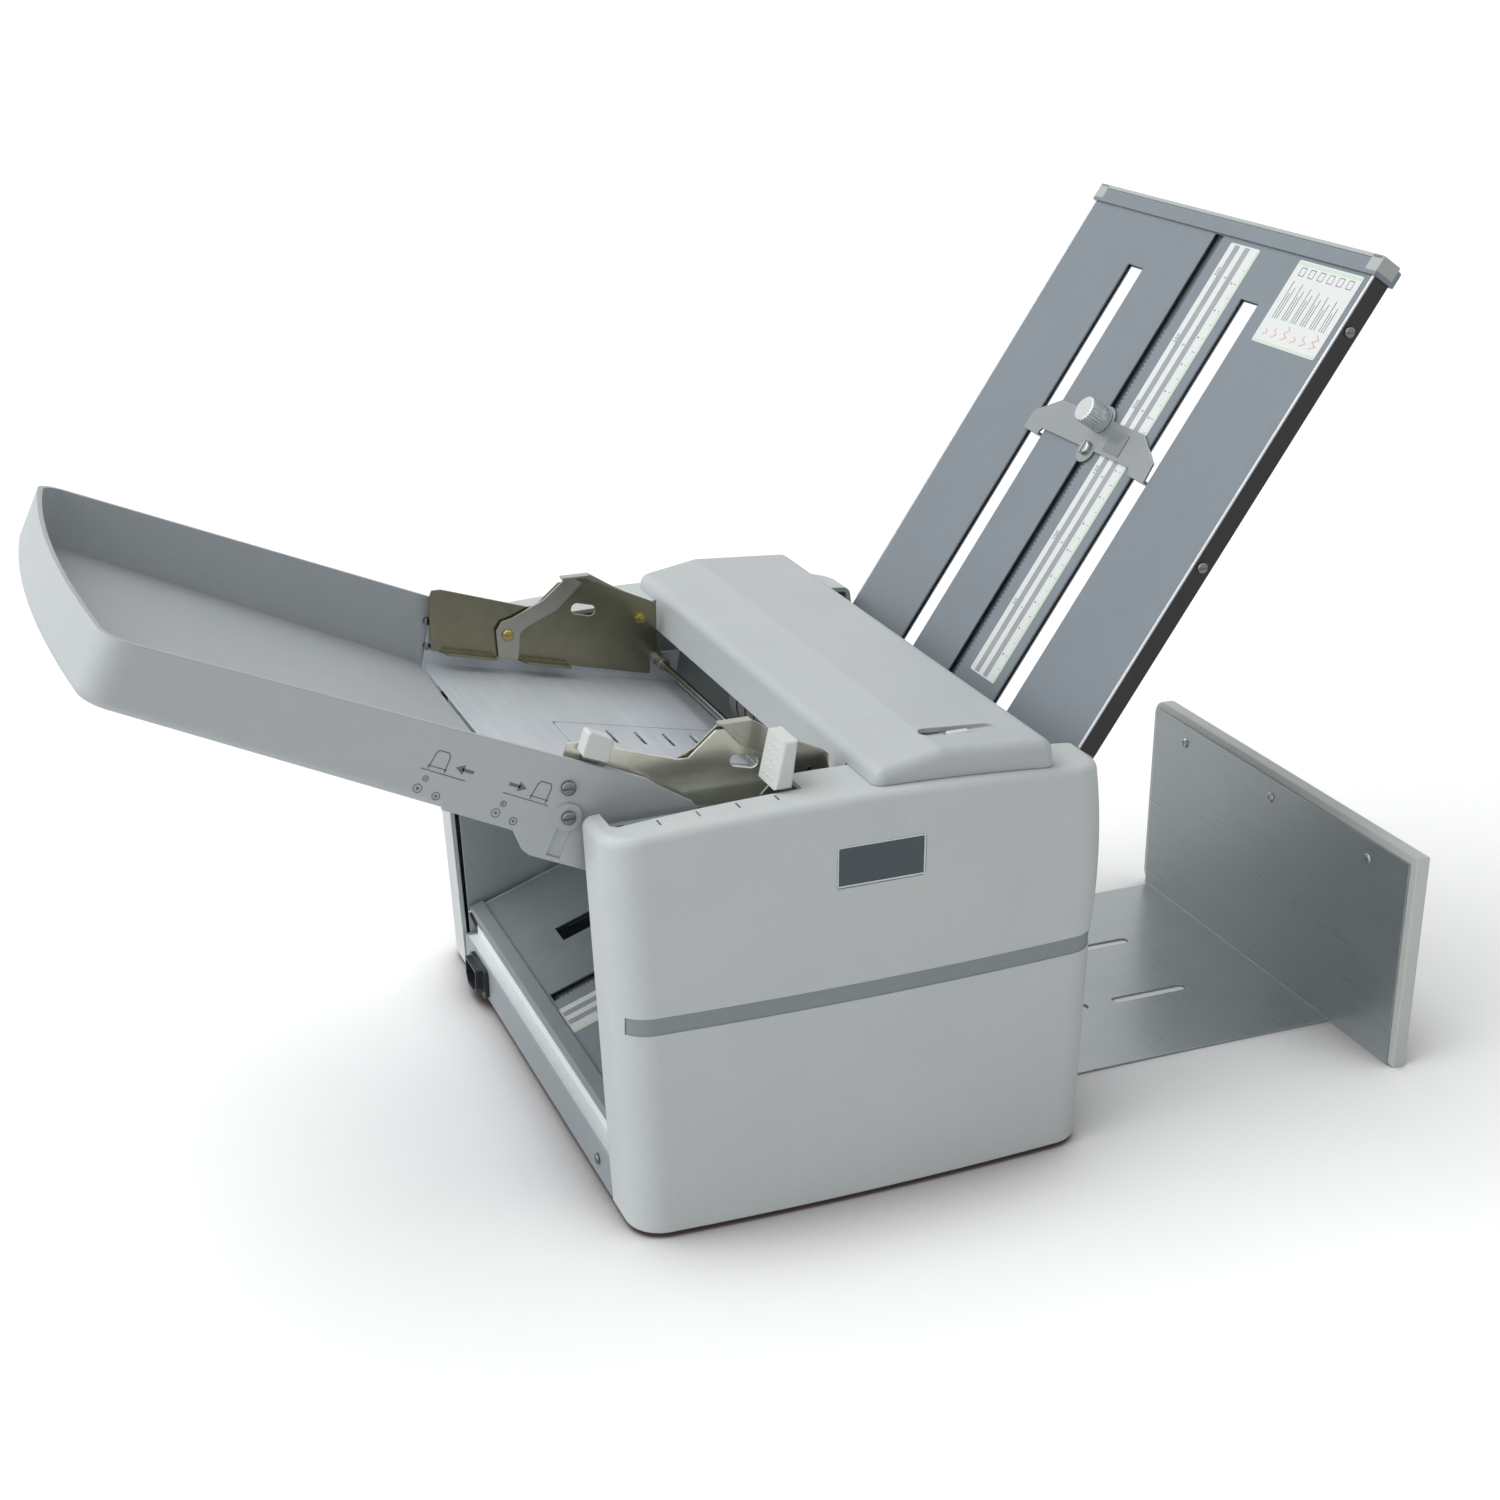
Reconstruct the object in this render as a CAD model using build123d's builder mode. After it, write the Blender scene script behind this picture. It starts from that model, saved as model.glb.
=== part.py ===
"""Desk paper folding machine: friction-feed tray, four fold rollers, two fold plates, stacker.

Millimetres. +X runs with the paper, from the feed tray to the stacker, +Y away from the
operator, +Z up. The origin lies on the table under the middle of the machine.
"""
from build123d import *
from math import atan2, ceil, cos, degrees, floor, hypot, pi, radians, sin
import os

os.makedirs("parts", exist_ok=True)

# ------------------------------------------------------------------ driving dimensions
fit_gap = 0.3            # between bodies that move past each other
shaft_clearance = 0.05   # radial, shafts in bushes and pins in lugs

# Body: two side frames with moulded covers, over a folded base pan
frame_inner_y = 165.0
frame_t = 2.0
frame_bottom_z = 6.0
frame_top_z = 247.0
frame_flange_z = 252.5
foot_height = 4.0
foot_r = 12.0
foot_y = 150.0
cover_bottom_z = 3.0
cover_left_x = -134.5
cover_lean = 12.8
cover_left_top_z = 259.5
cover_crown_x = 13.0
cover_crown_z = 267.0
cover_right_x = 168.5
cover_waist_x = 171.5
cover_belly_x = 174.5
cover_belly_z = 205.0
cover_shoulder_x = 169.0
cover_shoulder_z = 258.3
cover_end_y = 206.0
cover_mid_y = 215.0
cover_wall = 3.0
cover_corner_r = 22.0
cover_top_r = 6.0
cover_foot_r = 2.5
stripe_low_z = 137.5
stripe_high_z = 148.5
stripe_depth = 1.4
stripe_t = 0.9
stripe_start_x = -136.5
badge_x = 18.0
badge_z = 224.7
badge_w = 57.0
badge_h = 26.5
badge_depth = 1.6
badge_t = 0.9
thread_r = 1.5           # small panel screws
pan_screw_ys = (-140.0, 150.0)
pan_screw_z = 18.0
notch_screw = (-127.0, -177.0)
plate_screws = (130.7, 295.5)
pan_left_x = -134.5
pan_right_x = 166.0
pan_top_z = 31.4
pan_lip = 11.0
pan_hem = 6.0
pan_t = 1.5
pan_bend_r = 2.0

# Rollers: centre distance is the pitch diameter of their gears
roller_r = 16.0
roller_half_length = 157.0
shaft_r = 5.0
gear_module = 1.35
roller_teeth = 24
idler_teeth = 30
roller_2_x = 103.0
roller_2_z = 185.0
bearing_1_deg = 100.0
bearing_3_deg = -24.0
bearing_4_deg = -106.0
feed_x = 40.0
feed_z = 240.0
feed_tyre_r = 21.0
feed_tyre_w = 60.0
bush_r = 8.0
bush_flange_r = 11.0
bush_flange_t = 1.5
gear_y = 170.0
gear_w = 9.0
tooth_root = 1.15        # depth below the pitch line, in modules
tooth_tip = 0.9          # height above it
tooth_root_share = 0.30  # half width of a tooth at its root and tip, of one pitch
tooth_tip_share = 0.11
belt_y = 184.0
belt_w = 8.0
belt_t = 1.6
drive_pulley_r = 30.0
motor_pulley_r = 12.0
motor_x = 95.0
motor_z = 58.0
motor_r = 28.0
motor_length = 84.0

# Fold plates: a face sheet with folded sides over a back sheet, paper between them
plate_t = 1.2
plate_depth = 14.0
plate_gap = 3.0
plate_back_t = 1.0
plate_slot_w = 20.0
plate_slot_y = 69.5
plate_mid_y = 1.5
rack_module = 1.0
pinion_teeth = 8
upper_plate_x = 175.1
upper_plate_z = 254.3
upper_plate_tilt = 56.4
upper_plate_half_w = 164.0
upper_plate_reach = 341.5
upper_plate_tail = 70.0
upper_slot_end = 293.5
upper_rack_end = 330.0
upper_stop_s = 161.0
lower_plate_x = -131.0
lower_plate_z = 51.5
lower_plate_tilt = 20.0
lower_plate_half_w = 160.0
lower_plate_reach = 232.0
lower_slot_start = 42.0
lower_rack_start = 13.0
lower_stop_s = 120.0
cap_lip = 9.0
cap_t = 2.0

# Feed tray, in its own slope
tray_x = -410.5
tray_z = 362.6
tray_tilt = 25.5
tray_half_w = 160.0
tray_wall = 3.0
tray_floor_length = 275.0
tray_wall_low = 38.0
tray_wall_high = 51.0
tray_bulge = 12.0
tray_corner_r = 18.0
tray_edge_r = 6.0
table_x = -160.0
table_z = 247.4
table_tilt = 11.8
table_length = 190.0
table_half_w = 155.5
table_t = 1.5
lift_half_w = 46.0
lift_length = 122.0
guide_y = 150.0
guide_t = 1.5
bar_x = 13.5
bar_z = 227.0
bar_r = 2.5

# Hood over the rollers
hood_half_length = 205.0
hood_wall = 3.0
hood_left_x = 15.5
hood_skirt_z = 249.5
hood_right_x = 137.5
hood_top_z = 283.5
hood_pin_y = 201.0
hood_pin_z = 271.2
hood_pin_r = 1.6
hood_knuckle_r = 3.4

# Operating lever
lever_pivot_x = -72.4
lever_pivot_z = 62.0
lever_swing_deg = 20.2
lever_y = 178.0
lever_t = 1.5

# Stacker
stacker_face_x = 408.5
stacker_panel_t = 10.7
stacker_low_y = -200.0
stacker_high_y = 111.0
stacker_height = 152.0
stacker_t = 1.5
stacker_floor_x = 60.0
stacker_floor_low_y = -134.0
stacker_floor_high_y = 106.0


def save(part, name):
    """Label one finished piece and write it as its own STEP file."""
    part.label = name
    export_step(part, f"parts/{name}.step")


def polar(x, z, length, angle):
    """Point at a distance and an angle in the XZ plane."""
    return (x + length * cos(radians(angle)), z + length * sin(radians(angle)))


def elevation(y):
    """Plane seen by the operator: X to the right, Z up, extruding towards the operator."""
    return Plane(origin=(0, y, 0), x_dir=(1, 0, 0), z_dir=(0, -1, 0))


def far_side(part):
    """The same piece mirrored to the other side of the machine."""
    return mirror(part, about=Plane.XZ)


def gear_outline(teeth, module, angle, x, z):
    """Corner points of a spur gear with straight-flanked teeth, one tooth at an angle."""
    pitch_r = teeth * module / 2
    step = 360 / teeth
    root_r = pitch_r - tooth_root * module
    tip_r = pitch_r + tooth_tip * module
    points = []
    for tooth in range(teeth):
        middle = angle + tooth * step
        points.append(polar(x, z, root_r, middle - step * tooth_root_share))
        points.append(polar(x, z, tip_r, middle - step * tooth_tip_share))
        points.append(polar(x, z, tip_r, middle + step * tooth_tip_share))
        points.append(polar(x, z, root_r, middle + step * tooth_root_share))
    return points


def gear_solid(teeth, module, width, bore_r, angle, y, x, z, hub_r=0.0, hub_w=0.0):
    """Spur gear with its axis along Y, its near face at y, and a hub on its far face."""
    with BuildPart() as gear:
        with BuildSketch(elevation(y + width)):
            with BuildLine():
                Polyline(*gear_outline(teeth, module, angle, x, z), close=True)
            make_face()
        extrude(amount=width)
        if hub_w > 0:
            with BuildSketch(elevation(y + width + hub_w)):
                with Locations((x, z)):
                    Circle(hub_r)
            extrude(amount=hub_w)
        with BuildSketch(elevation(y + width + hub_w)):
            with Locations((x, z)):
                Circle(bore_r)
        extrude(amount=width + hub_w, mode=Mode.SUBTRACT)
    return gear.part


def meshed_angle(angle_a, teeth_a, teeth_b, line_angle):
    """Turn of gear B that puts a gap of B on a tooth of A, B lying at line_angle from A."""
    offset = (angle_a - line_angle) * teeth_a / 360
    return line_angle + 180 - (offset - 0.5) * 360 / teeth_b


# ------------------------------------------------------------------ roller positions
pitch_d = gear_module * roller_teeth
roller_2 = (roller_2_x, roller_2_z)
roller_1 = polar(roller_2_x, roller_2_z, pitch_d, bearing_1_deg)
roller_3 = polar(roller_2_x, roller_2_z, pitch_d, bearing_3_deg)
roller_4 = polar(roller_3[0], roller_3[1], pitch_d, bearing_4_deg)
feed = (feed_x, feed_z)
feed_span = hypot(roller_1[0] - feed_x, roller_1[1] - feed_z)
feed_line = degrees(atan2(roller_1[1] - feed_z, roller_1[0] - feed_x))
idler_reach = gear_module * (roller_teeth + idler_teeth) / 2
idler_rise = (idler_reach ** 2 - (feed_span / 2) ** 2) ** 0.5
idler_bearing = feed_line - degrees(atan2(idler_rise, feed_span / 2))
idler = polar(feed_x, feed_z, idler_reach, idler_bearing)
shaft_points = [roller_1, roller_2, roller_3, roller_4, feed]
outer_shaft_y = gear_y + gear_w + 1.0


def plate_point(x, z, tilt, along, off):
    """Point in the XZ plane, along a fold plate from its origin and off its face."""
    return (
        x + along * cos(radians(tilt)) - off * sin(radians(tilt)),
        z + along * sin(radians(tilt)) + off * cos(radians(tilt)),
    )


# Bosses inside the side frames that the folded sides of the fold plates are screwed to
rest_r = 4.0
upper_rests = [
    plate_point(upper_plate_x, upper_plate_z, upper_plate_tilt, along, -plate_depth / 2)
    for along in (-62.0, -40.0)
]
lower_rests = [
    plate_point(lower_plate_x, lower_plate_z, lower_plate_tilt, along, -plate_depth / 2)
    for along in (60.0, 205.0)
]


# ------------------------------------------------------------------ side frames
def side_frame_part(near):
    """Pressed side frame with bush holes, a top flange and the pivot studs it carries."""
    with BuildPart() as side:
        with BuildSketch(elevation(-frame_inner_y)):
            with BuildLine():
                Polyline(
                    (cover_left_x + 5, frame_bottom_z),
                    (cover_left_x - cover_lean + 8, frame_top_z),
                    (cover_shoulder_x - 5, frame_top_z),
                    (cover_right_x - 5, frame_bottom_z),
                    close=True,
                )
            make_face()
            for point in shaft_points:
                with Locations(point):
                    Circle(bush_r, mode=Mode.SUBTRACT)
            if not near:
                with Locations((motor_x, motor_z)):
                    Circle(shaft_r + 1, mode=Mode.SUBTRACT)
        extrude(amount=frame_t)
        flange_left = cover_left_x - 6
        flange_right = -24.0
        flange_depth = 22.0
        with BuildSketch(Plane.XY.offset(frame_flange_z - frame_t)):
            with Locations(((flange_left + flange_right) / 2, -frame_inner_y)):
                Rectangle(flange_right - flange_left, flange_depth, align=(Align.CENTER, Align.MAX))
            if near:
                slit_half = lever_t / 2 + 1.0
                slit_x = lever_pivot_x
                with Locations((slit_x, -lever_y)):
                    SlotOverall(flange_right - flange_left - 26, 2 * slit_half, mode=Mode.SUBTRACT)
                with Locations(notch_screw):
                    Circle(thread_r, mode=Mode.SUBTRACT)
        extrude(amount=frame_t)
        with BuildSketch(elevation(-frame_inner_y)):
            with Locations(((flange_left + flange_right) / 2, frame_top_z)):
                Rectangle(
                    flange_right - flange_left, frame_flange_z - frame_top_z,
                    align=(Align.CENTER, Align.MIN),
                )
        extrude(amount=frame_t)
        with BuildSketch(elevation(-frame_inner_y)):
            with Locations(*upper_rests):
                Circle(rest_r)
        extrude(amount=upper_plate_half_w - frame_inner_y)
        with BuildSketch(elevation(-frame_inner_y)):
            with Locations(*lower_rests):
                Circle(rest_r)
        extrude(amount=lower_plate_half_w - frame_inner_y)
        if near:
            with BuildSketch(elevation(-frame_inner_y)):
                with Locations((lever_pivot_x, lever_pivot_z)):
                    Circle(6)
            extrude(amount=lever_y - lever_t / 2 - fit_gap - frame_inner_y)
            with BuildSketch(elevation(-frame_inner_y)):
                with Locations((lever_pivot_x, lever_pivot_z)):
                    Circle(4)
            extrude(amount=lever_y + lever_t / 2 + 2 - frame_inner_y)
        else:
            with BuildSketch(elevation(-frame_inner_y - frame_t)):
                with Locations(idler):
                    Circle(shaft_r + 3)
            extrude(amount=gear_y - frame_inner_y - frame_t - fit_gap)
            with BuildSketch(elevation(-frame_inner_y - frame_t)):
                with Locations(idler):
                    Circle(shaft_r)
            extrude(amount=outer_shaft_y - frame_inner_y - frame_t)
    return side.part


save(side_frame_part(True), "side_frame_near")
save(far_side(side_frame_part(False)), "side_frame_far")


# ------------------------------------------------------------------ base pan and feet
with BuildPart() as base_pan:
    with BuildSketch(elevation(frame_inner_y - fit_gap)) as pan_section:
        with BuildLine() as pan_line:
            FilletPolyline(
                (pan_left_x + pan_lip, pan_top_z - pan_hem),
                (pan_left_x + pan_lip, pan_top_z),
                (pan_left_x, pan_top_z),
                (pan_left_x, foot_height),
                (pan_right_x, foot_height),
                (pan_right_x, pan_top_z),
                (pan_right_x - pan_lip, pan_top_z),
                (pan_right_x - pan_lip, pan_top_z - pan_hem),
                radius=pan_bend_r,
            )
            offset(amount=pan_t, side=Side.LEFT)
        make_face()
    extrude(amount=2 * (frame_inner_y - fit_gap))
    inlet_y = 124.0
    inlet_z = 17.5
    with BuildSketch(Plane.YZ.offset(pan_left_x - 1)):
        with Locations((inlet_y, inlet_z)):
            Rectangle(28.4, 20.4)
        with Locations(*[(screw_y, pan_screw_z) for screw_y in pan_screw_ys]):
            Circle(thread_r)
    extrude(amount=pan_t + 3, mode=Mode.SUBTRACT)
    with BuildSketch(Plane.XY.offset(foot_height - 1)):
        with GridLocations(20, 8, 9, 4):
            SlotOverall(14, 3)
    extrude(amount=pan_t + 3, mode=Mode.SUBTRACT)
save(base_pan.part, "base_pan")

foot_xs = (pan_left_x + 22, pan_right_x - 22)
with BuildPart() as rubber_feet:
    with BuildSketch(Plane.XY):
        for foot_x in foot_xs:
            for foot_side in (-foot_y, foot_y):
                with Locations((foot_x, foot_side)):
                    Circle(foot_r)
    extrude(amount=foot_height, taper=4)
save(rubber_feet.part, "rubber_feet")


# ------------------------------------------------------------------ side covers
def cover_form(inset, rounded):
    """Outer form of the near cover, drawn in by inset on every outer face."""
    with BuildPart() as form:
        with BuildSketch(elevation(-frame_inner_y - frame_t)):
            with BuildLine():
                left_top = (cover_left_x - cover_lean + inset, cover_left_top_z - inset)
                waist_z = (stripe_low_z + stripe_high_z) / 2
                Line((cover_left_x + inset, cover_bottom_z + inset), left_top)
                ThreePointArc(
                    left_top,
                    (cover_crown_x, cover_crown_z - inset),
                    (cover_shoulder_x - inset, cover_shoulder_z - inset),
                )
                ThreePointArc(
                    (cover_shoulder_x - inset, cover_shoulder_z - inset),
                    (cover_belly_x - inset, cover_belly_z),
                    (cover_waist_x - inset, waist_z),
                )
                Line((cover_waist_x - inset, waist_z), (cover_right_x - inset, cover_bottom_z + inset))
                Line((cover_right_x - inset, cover_bottom_z + inset),
                     (cover_left_x + inset, cover_bottom_z + inset))
            make_face()
        extrude(amount=cover_mid_y)
        with BuildSketch(Plane.XY):
            with BuildLine():
                span = 200.0
                near_y = -(cover_end_y - inset)
                ThreePointArc((-span, near_y), (cover_crown_x, -(cover_mid_y - inset)), (span, near_y))
                Polyline((span, near_y), (span, 0), (-span, 0), (-span, near_y))
            make_face()
        extrude(amount=cover_crown_z + 10, mode=Mode.INTERSECT)
        corner_edges = [
            edge for edge in form.edges()
            if edge.center().Y < -(cover_end_y - inset - 5) and edge.bounding_box().size.Z > 60
        ]
        fillet(corner_edges, cover_corner_r - inset)
        if rounded:
            top_face = form.faces().sort_by(Axis.Z)[-1]
            top_edges = [
                edge for edge in top_face.edges() if edge.center().Y < -(frame_inner_y + frame_t + 2)
            ]
            fillet(top_edges, cover_top_r)
            bottom_face = form.faces().sort_by(Axis.Z)[0]
            bottom_edges = [
                edge for edge in bottom_face.edges() if edge.center().Y < -(frame_inner_y + frame_t + 2)
            ]
            fillet(bottom_edges, cover_foot_r)
    return form.part


def stripe_band(outer_inset, inner_inset):
    """Part of the cover's skin between two insets, where the accent stripe runs."""
    outer_skin = cover_form(outer_inset, False)
    inner_skin = cover_form(inner_inset, False)
    with BuildPart() as band:
        with BuildSketch(Plane.XY.offset(stripe_low_z)):
            with BuildLine():
                Polyline(
                    (stripe_start_x, -(frame_inner_y + frame_t + 6)),
                    (cover_belly_x + 5, -(frame_inner_y + frame_t + 6)),
                    (cover_belly_x + 5, -cover_mid_y - 5),
                    (stripe_start_x, -cover_mid_y - 5),
                    close=True,
                )
            make_face()
        extrude(amount=stripe_high_z - stripe_low_z)
        add(outer_skin, mode=Mode.INTERSECT)
        add(inner_skin, mode=Mode.SUBTRACT)
    return band.part


cover_solid = cover_form(0, True)
cover_cavity = cover_form(cover_wall, False)
stripe_groove = stripe_band(-1.0, stripe_depth)
slot_left_x = cover_left_x - 2.3
slot_right_x = -22.0
slot_near_y = -189.5
badge_plane = Plane(origin=(badge_x, -cover_mid_y - 1, badge_z), x_dir=(1, 0, 0), z_dir=(0, -1, 0))

with BuildPart() as side_cover_near:
    add(cover_solid)
    add(cover_cavity, mode=Mode.SUBTRACT)
    add(stripe_groove, mode=Mode.SUBTRACT)
    with BuildSketch(Plane.XY.offset(frame_flange_z - 4)):
        with BuildLine():
            Polyline(
                (slot_left_x, -frame_inner_y),
                (slot_left_x, slot_near_y + 4),
                (slot_left_x + 3, slot_near_y),
                (slot_right_x, slot_near_y),
                (slot_right_x, -frame_inner_y),
                close=True,
            )
        make_face()
    extrude(amount=30, mode=Mode.SUBTRACT)
    with BuildSketch(badge_plane):
        RectangleRounded(badge_w, badge_h, 2)
    extrude(amount=-(badge_depth + 1.2), mode=Mode.SUBTRACT)
save(side_cover_near.part, "side_cover_near")

hinge_xs = (45.0, 112.0)
knuckle_w = 12.0
with BuildPart() as side_cover_far:
    add(cover_solid)
    add(cover_cavity, mode=Mode.SUBTRACT)
    add(stripe_groove, mode=Mode.SUBTRACT)
    for hinge_x in hinge_xs:
        knuckle_plane = Plane(
            origin=(hinge_x - knuckle_w / 2, -hood_pin_y, hood_pin_z), x_dir=(0, 1, 0), z_dir=(1, 0, 0)
        )
        with BuildSketch(knuckle_plane):
            Circle(hood_knuckle_r)
            with Locations((0, -5)):
                Rectangle(2 * hood_knuckle_r, 10)
            Circle(hood_pin_r, mode=Mode.SUBTRACT)
        extrude(amount=knuckle_w)
save(far_side(side_cover_far.part), "side_cover_far")

with BuildPart() as accent_strips:
    stripe = stripe_band(stripe_depth - stripe_t, stripe_depth)
    add(stripe)
    add(far_side(stripe))
save(accent_strips.part, "accent_strips")

with BuildPart() as badge_plate:
    with BuildSketch(Plane(
        origin=(badge_x, -(cover_mid_y - badge_depth - 0.2), badge_z), x_dir=(1, 0, 0), z_dir=(0, -1, 0)
    )):
        RectangleRounded(badge_w - 0.6, badge_h - 0.6, 1.7)
    extrude(amount=badge_t)
    fillet(badge_plate.faces().sort_by(Axis.Y)[0].edges(), 0.3)
save(badge_plate.part, "badge_plate")


# ------------------------------------------------------------------ mains inlet
with BuildPart() as power_inlet:
    flange_x = pan_left_x
    with BuildSketch(Plane(origin=(flange_x, inlet_y, inlet_z), x_dir=(0, -1, 0), z_dir=(-1, 0, 0))):
        RectangleRounded(40, 22, 5)
        with Locations((-15.5, 0), (15.5, 0)):
            Circle(1.6, mode=Mode.SUBTRACT)
    extrude(amount=3)
    with BuildSketch(Plane(origin=(flange_x, inlet_y, inlet_z), x_dir=(0, -1, 0), z_dir=(-1, 0, 0))) as shroud:
        with BuildLine():
            Polyline((-13.5, 10), (13.5, 10), (13.5, -4), (8.5, -10), (-8.5, -10), (-13.5, -4), close=True)
        make_face()
    extrude(amount=8)
    with BuildSketch(Plane(origin=(flange_x, inlet_y, inlet_z), x_dir=(0, -1, 0), z_dir=(-1, 0, 0))):
        RectangleRounded(27.8, 19.8, 2)
    extrude(amount=-9)
    with BuildSketch(Plane(origin=(flange_x - 8, inlet_y, inlet_z), x_dir=(0, -1, 0), z_dir=(-1, 0, 0))):
        with BuildLine():
            Polyline((-12, 8.3), (12, 8.3), (12, -3.4), (7.4, -8.2), (-7.4, -8.2), (-12, -3.4), close=True)
        make_face()
        for pin_y, pin_z in ((-7, -2), (0, 2), (7, -2)):
            with Locations((pin_y, pin_z)):
                Rectangle(2, 4, mode=Mode.SUBTRACT)
    extrude(amount=-15, mode=Mode.SUBTRACT)
    with BuildSketch(Plane(origin=(flange_x - 8, inlet_y, inlet_z), x_dir=(0, -1, 0), z_dir=(-1, 0, 0))):
        Rectangle(18, 9)
    extrude(amount=-4.8, mode=Mode.SUBTRACT)
save(power_inlet.part, "power_inlet")


def screw_head(plane, head_r, height, shank_r, shank, slot_w):
    """Domed screw head on a plane, its shank below and a straight slot across it."""
    with BuildPart() as screw:
        with BuildSketch(plane):
            Circle(head_r)
        extrude(amount=height)
        fillet(screw.faces().sort_by(lambda face: plane.to_local_coords(face.center()).Z)[-1].edges(),
               height * 0.6)
        with BuildSketch(plane.offset(height)):
            Rectangle(2 * head_r, slot_w)
        extrude(amount=-height * 0.5, mode=Mode.SUBTRACT)
        with BuildSketch(plane):
            Circle(shank_r)
        extrude(amount=-shank)
    return screw.part


# ------------------------------------------------------------------ feed tray
tray_cos = cos(radians(tray_tilt))
tray_sin = sin(radians(tray_tilt))
tray_plane = Plane(origin=(tray_x, 0, tray_z), x_dir=(tray_cos, 0, -tray_sin), z_dir=(tray_sin, 0, tray_cos))


def tray_side(y):
    """Plane along the tray's slope, seen by the operator: x down the slope, y off the floor."""
    return Plane(origin=(tray_x, y, tray_z), x_dir=(tray_cos, 0, -tray_sin), z_dir=(0, -1, 0))


def tray_outline(inset, right_end):
    """Plan of the tray in its own slope, with the bowed end wall, drawn in by inset."""
    half = tray_half_w - inset
    ThreePointArc((inset, -half), (inset - tray_bulge, 0), (inset, half))
    Polyline((inset, half), (right_end, half), (right_end, -half), (inset, -half))


lug_slot_u = 276.8
lug_screw_u = 270.2
lug_screw_w = 33.0
lug_stud_w = 16.7
lug_groove = 25.0
stud_r = 4.2
with BuildPart() as feed_tray:
    with BuildSketch(tray_plane):
        with BuildLine():
            tray_outline(0, tray_floor_length)
        make_face()
    extrude(amount=tray_wall_high + 10)
    corner_edges = [
        edge for edge in feed_tray.edges()
        if edge.center().X < tray_x + 40 and abs(edge.center().Y) > tray_half_w - 2
        and abs(edge.bounding_box().size.Y) < 1 and edge.bounding_box().size.Z > 20
        and edge.length < tray_wall_high + 11
    ]
    fillet(corner_edges, tray_corner_r)
    floor_face = feed_tray.faces().sort_by(lambda face: tray_plane.to_local_coords(face.center()).Z)[0]
    fillet(
        [edge for edge in floor_face.edges()
         if tray_plane.to_local_coords(edge.center()).X < tray_floor_length - 1],
        tray_edge_r,
    )
    with BuildSketch(tray_plane.offset(tray_wall)):
        with BuildLine():
            tray_outline(tray_wall, tray_floor_length + 5)
        make_face()
        fillet(
            vertices().filter_by(lambda corner: corner.X < 20),
            tray_corner_r - tray_wall,
        )
    extrude(amount=tray_wall_high + 20, mode=Mode.SUBTRACT)
    with BuildSketch(tray_side(tray_half_w + 5)):
        with BuildLine():
            Polyline(
                (-60, tray_wall_low), (0, tray_wall_low), (310, tray_wall_high),
                (310, 90), (-60, 90), close=True,
            )
        make_face()
    extrude(amount=2 * tray_half_w + 10, mode=Mode.SUBTRACT)
    for wall_side in (-tray_half_w + tray_wall, tray_half_w):
        with BuildSketch(tray_side(wall_side)):
            with BuildLine():
                Polyline(
                    (205, 0), (249.5, 0), (259.5, -9.5), (264.5, -11.3), (368, -9.5),
                    (368, 36), (346.6, 46.5), (308.8, 51), (262, 49), (205, 46.5), close=True,
                )
            make_face()
        extrude(amount=tray_wall)
    for wall_y, sink in ((-tray_half_w, -1.2), (tray_half_w, 1.2)):
        with BuildSketch(tray_side(wall_y)):
            with Locations((lug_slot_u + 1.5, lug_stud_w)):
                Rectangle(9, lug_groove, align=(Align.CENTER, Align.MAX))
        extrude(amount=sink, mode=Mode.SUBTRACT)
        with BuildSketch(tray_side(wall_y)):
            with Locations((lug_slot_u, lug_stud_w)):
                Circle(8.5)
        extrude(amount=-sink * 1.25)
    with BuildSketch(tray_side(tray_half_w + 5)):
        with Locations((lug_screw_u, lug_screw_w), (lug_slot_u, lug_stud_w)):
            Circle(2.6)
    extrude(amount=2 * tray_half_w + 10, mode=Mode.SUBTRACT)
save(feed_tray.part, "feed_tray")

with BuildPart() as tray_screws:
    for side_sign in (-1, 1):
        for screw_u, screw_w, head_r in (
            (lug_screw_u, lug_screw_w, 4.5), (lug_slot_u, lug_stud_w, stud_r),
        ):
            collar = 1.5 if head_r == stud_r else 0.0
            head_plane = Plane(
                origin=tray_side(0).from_local_coords((screw_u, screw_w, 0))
                + Vector(0, side_sign * (tray_half_w + collar), 0),
                x_dir=(1, 0, 0), z_dir=(0, side_sign, 0),
            )
            add(screw_head(head_plane, head_r, 2.6, 2.5, tray_half_w + collar - table_half_w + table_t, 1.2))


# ------------------------------------------------------------------ feed table and lift plate
table_cos = cos(radians(table_tilt))
table_sin = sin(radians(table_tilt))


def table_side(y):
    """Plane along the table's slope, seen by the operator: x down the slope, y off the table."""
    return Plane(origin=(table_x, y, table_z), x_dir=(table_cos, 0, -table_sin), z_dir=(0, -1, 0))


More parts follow.
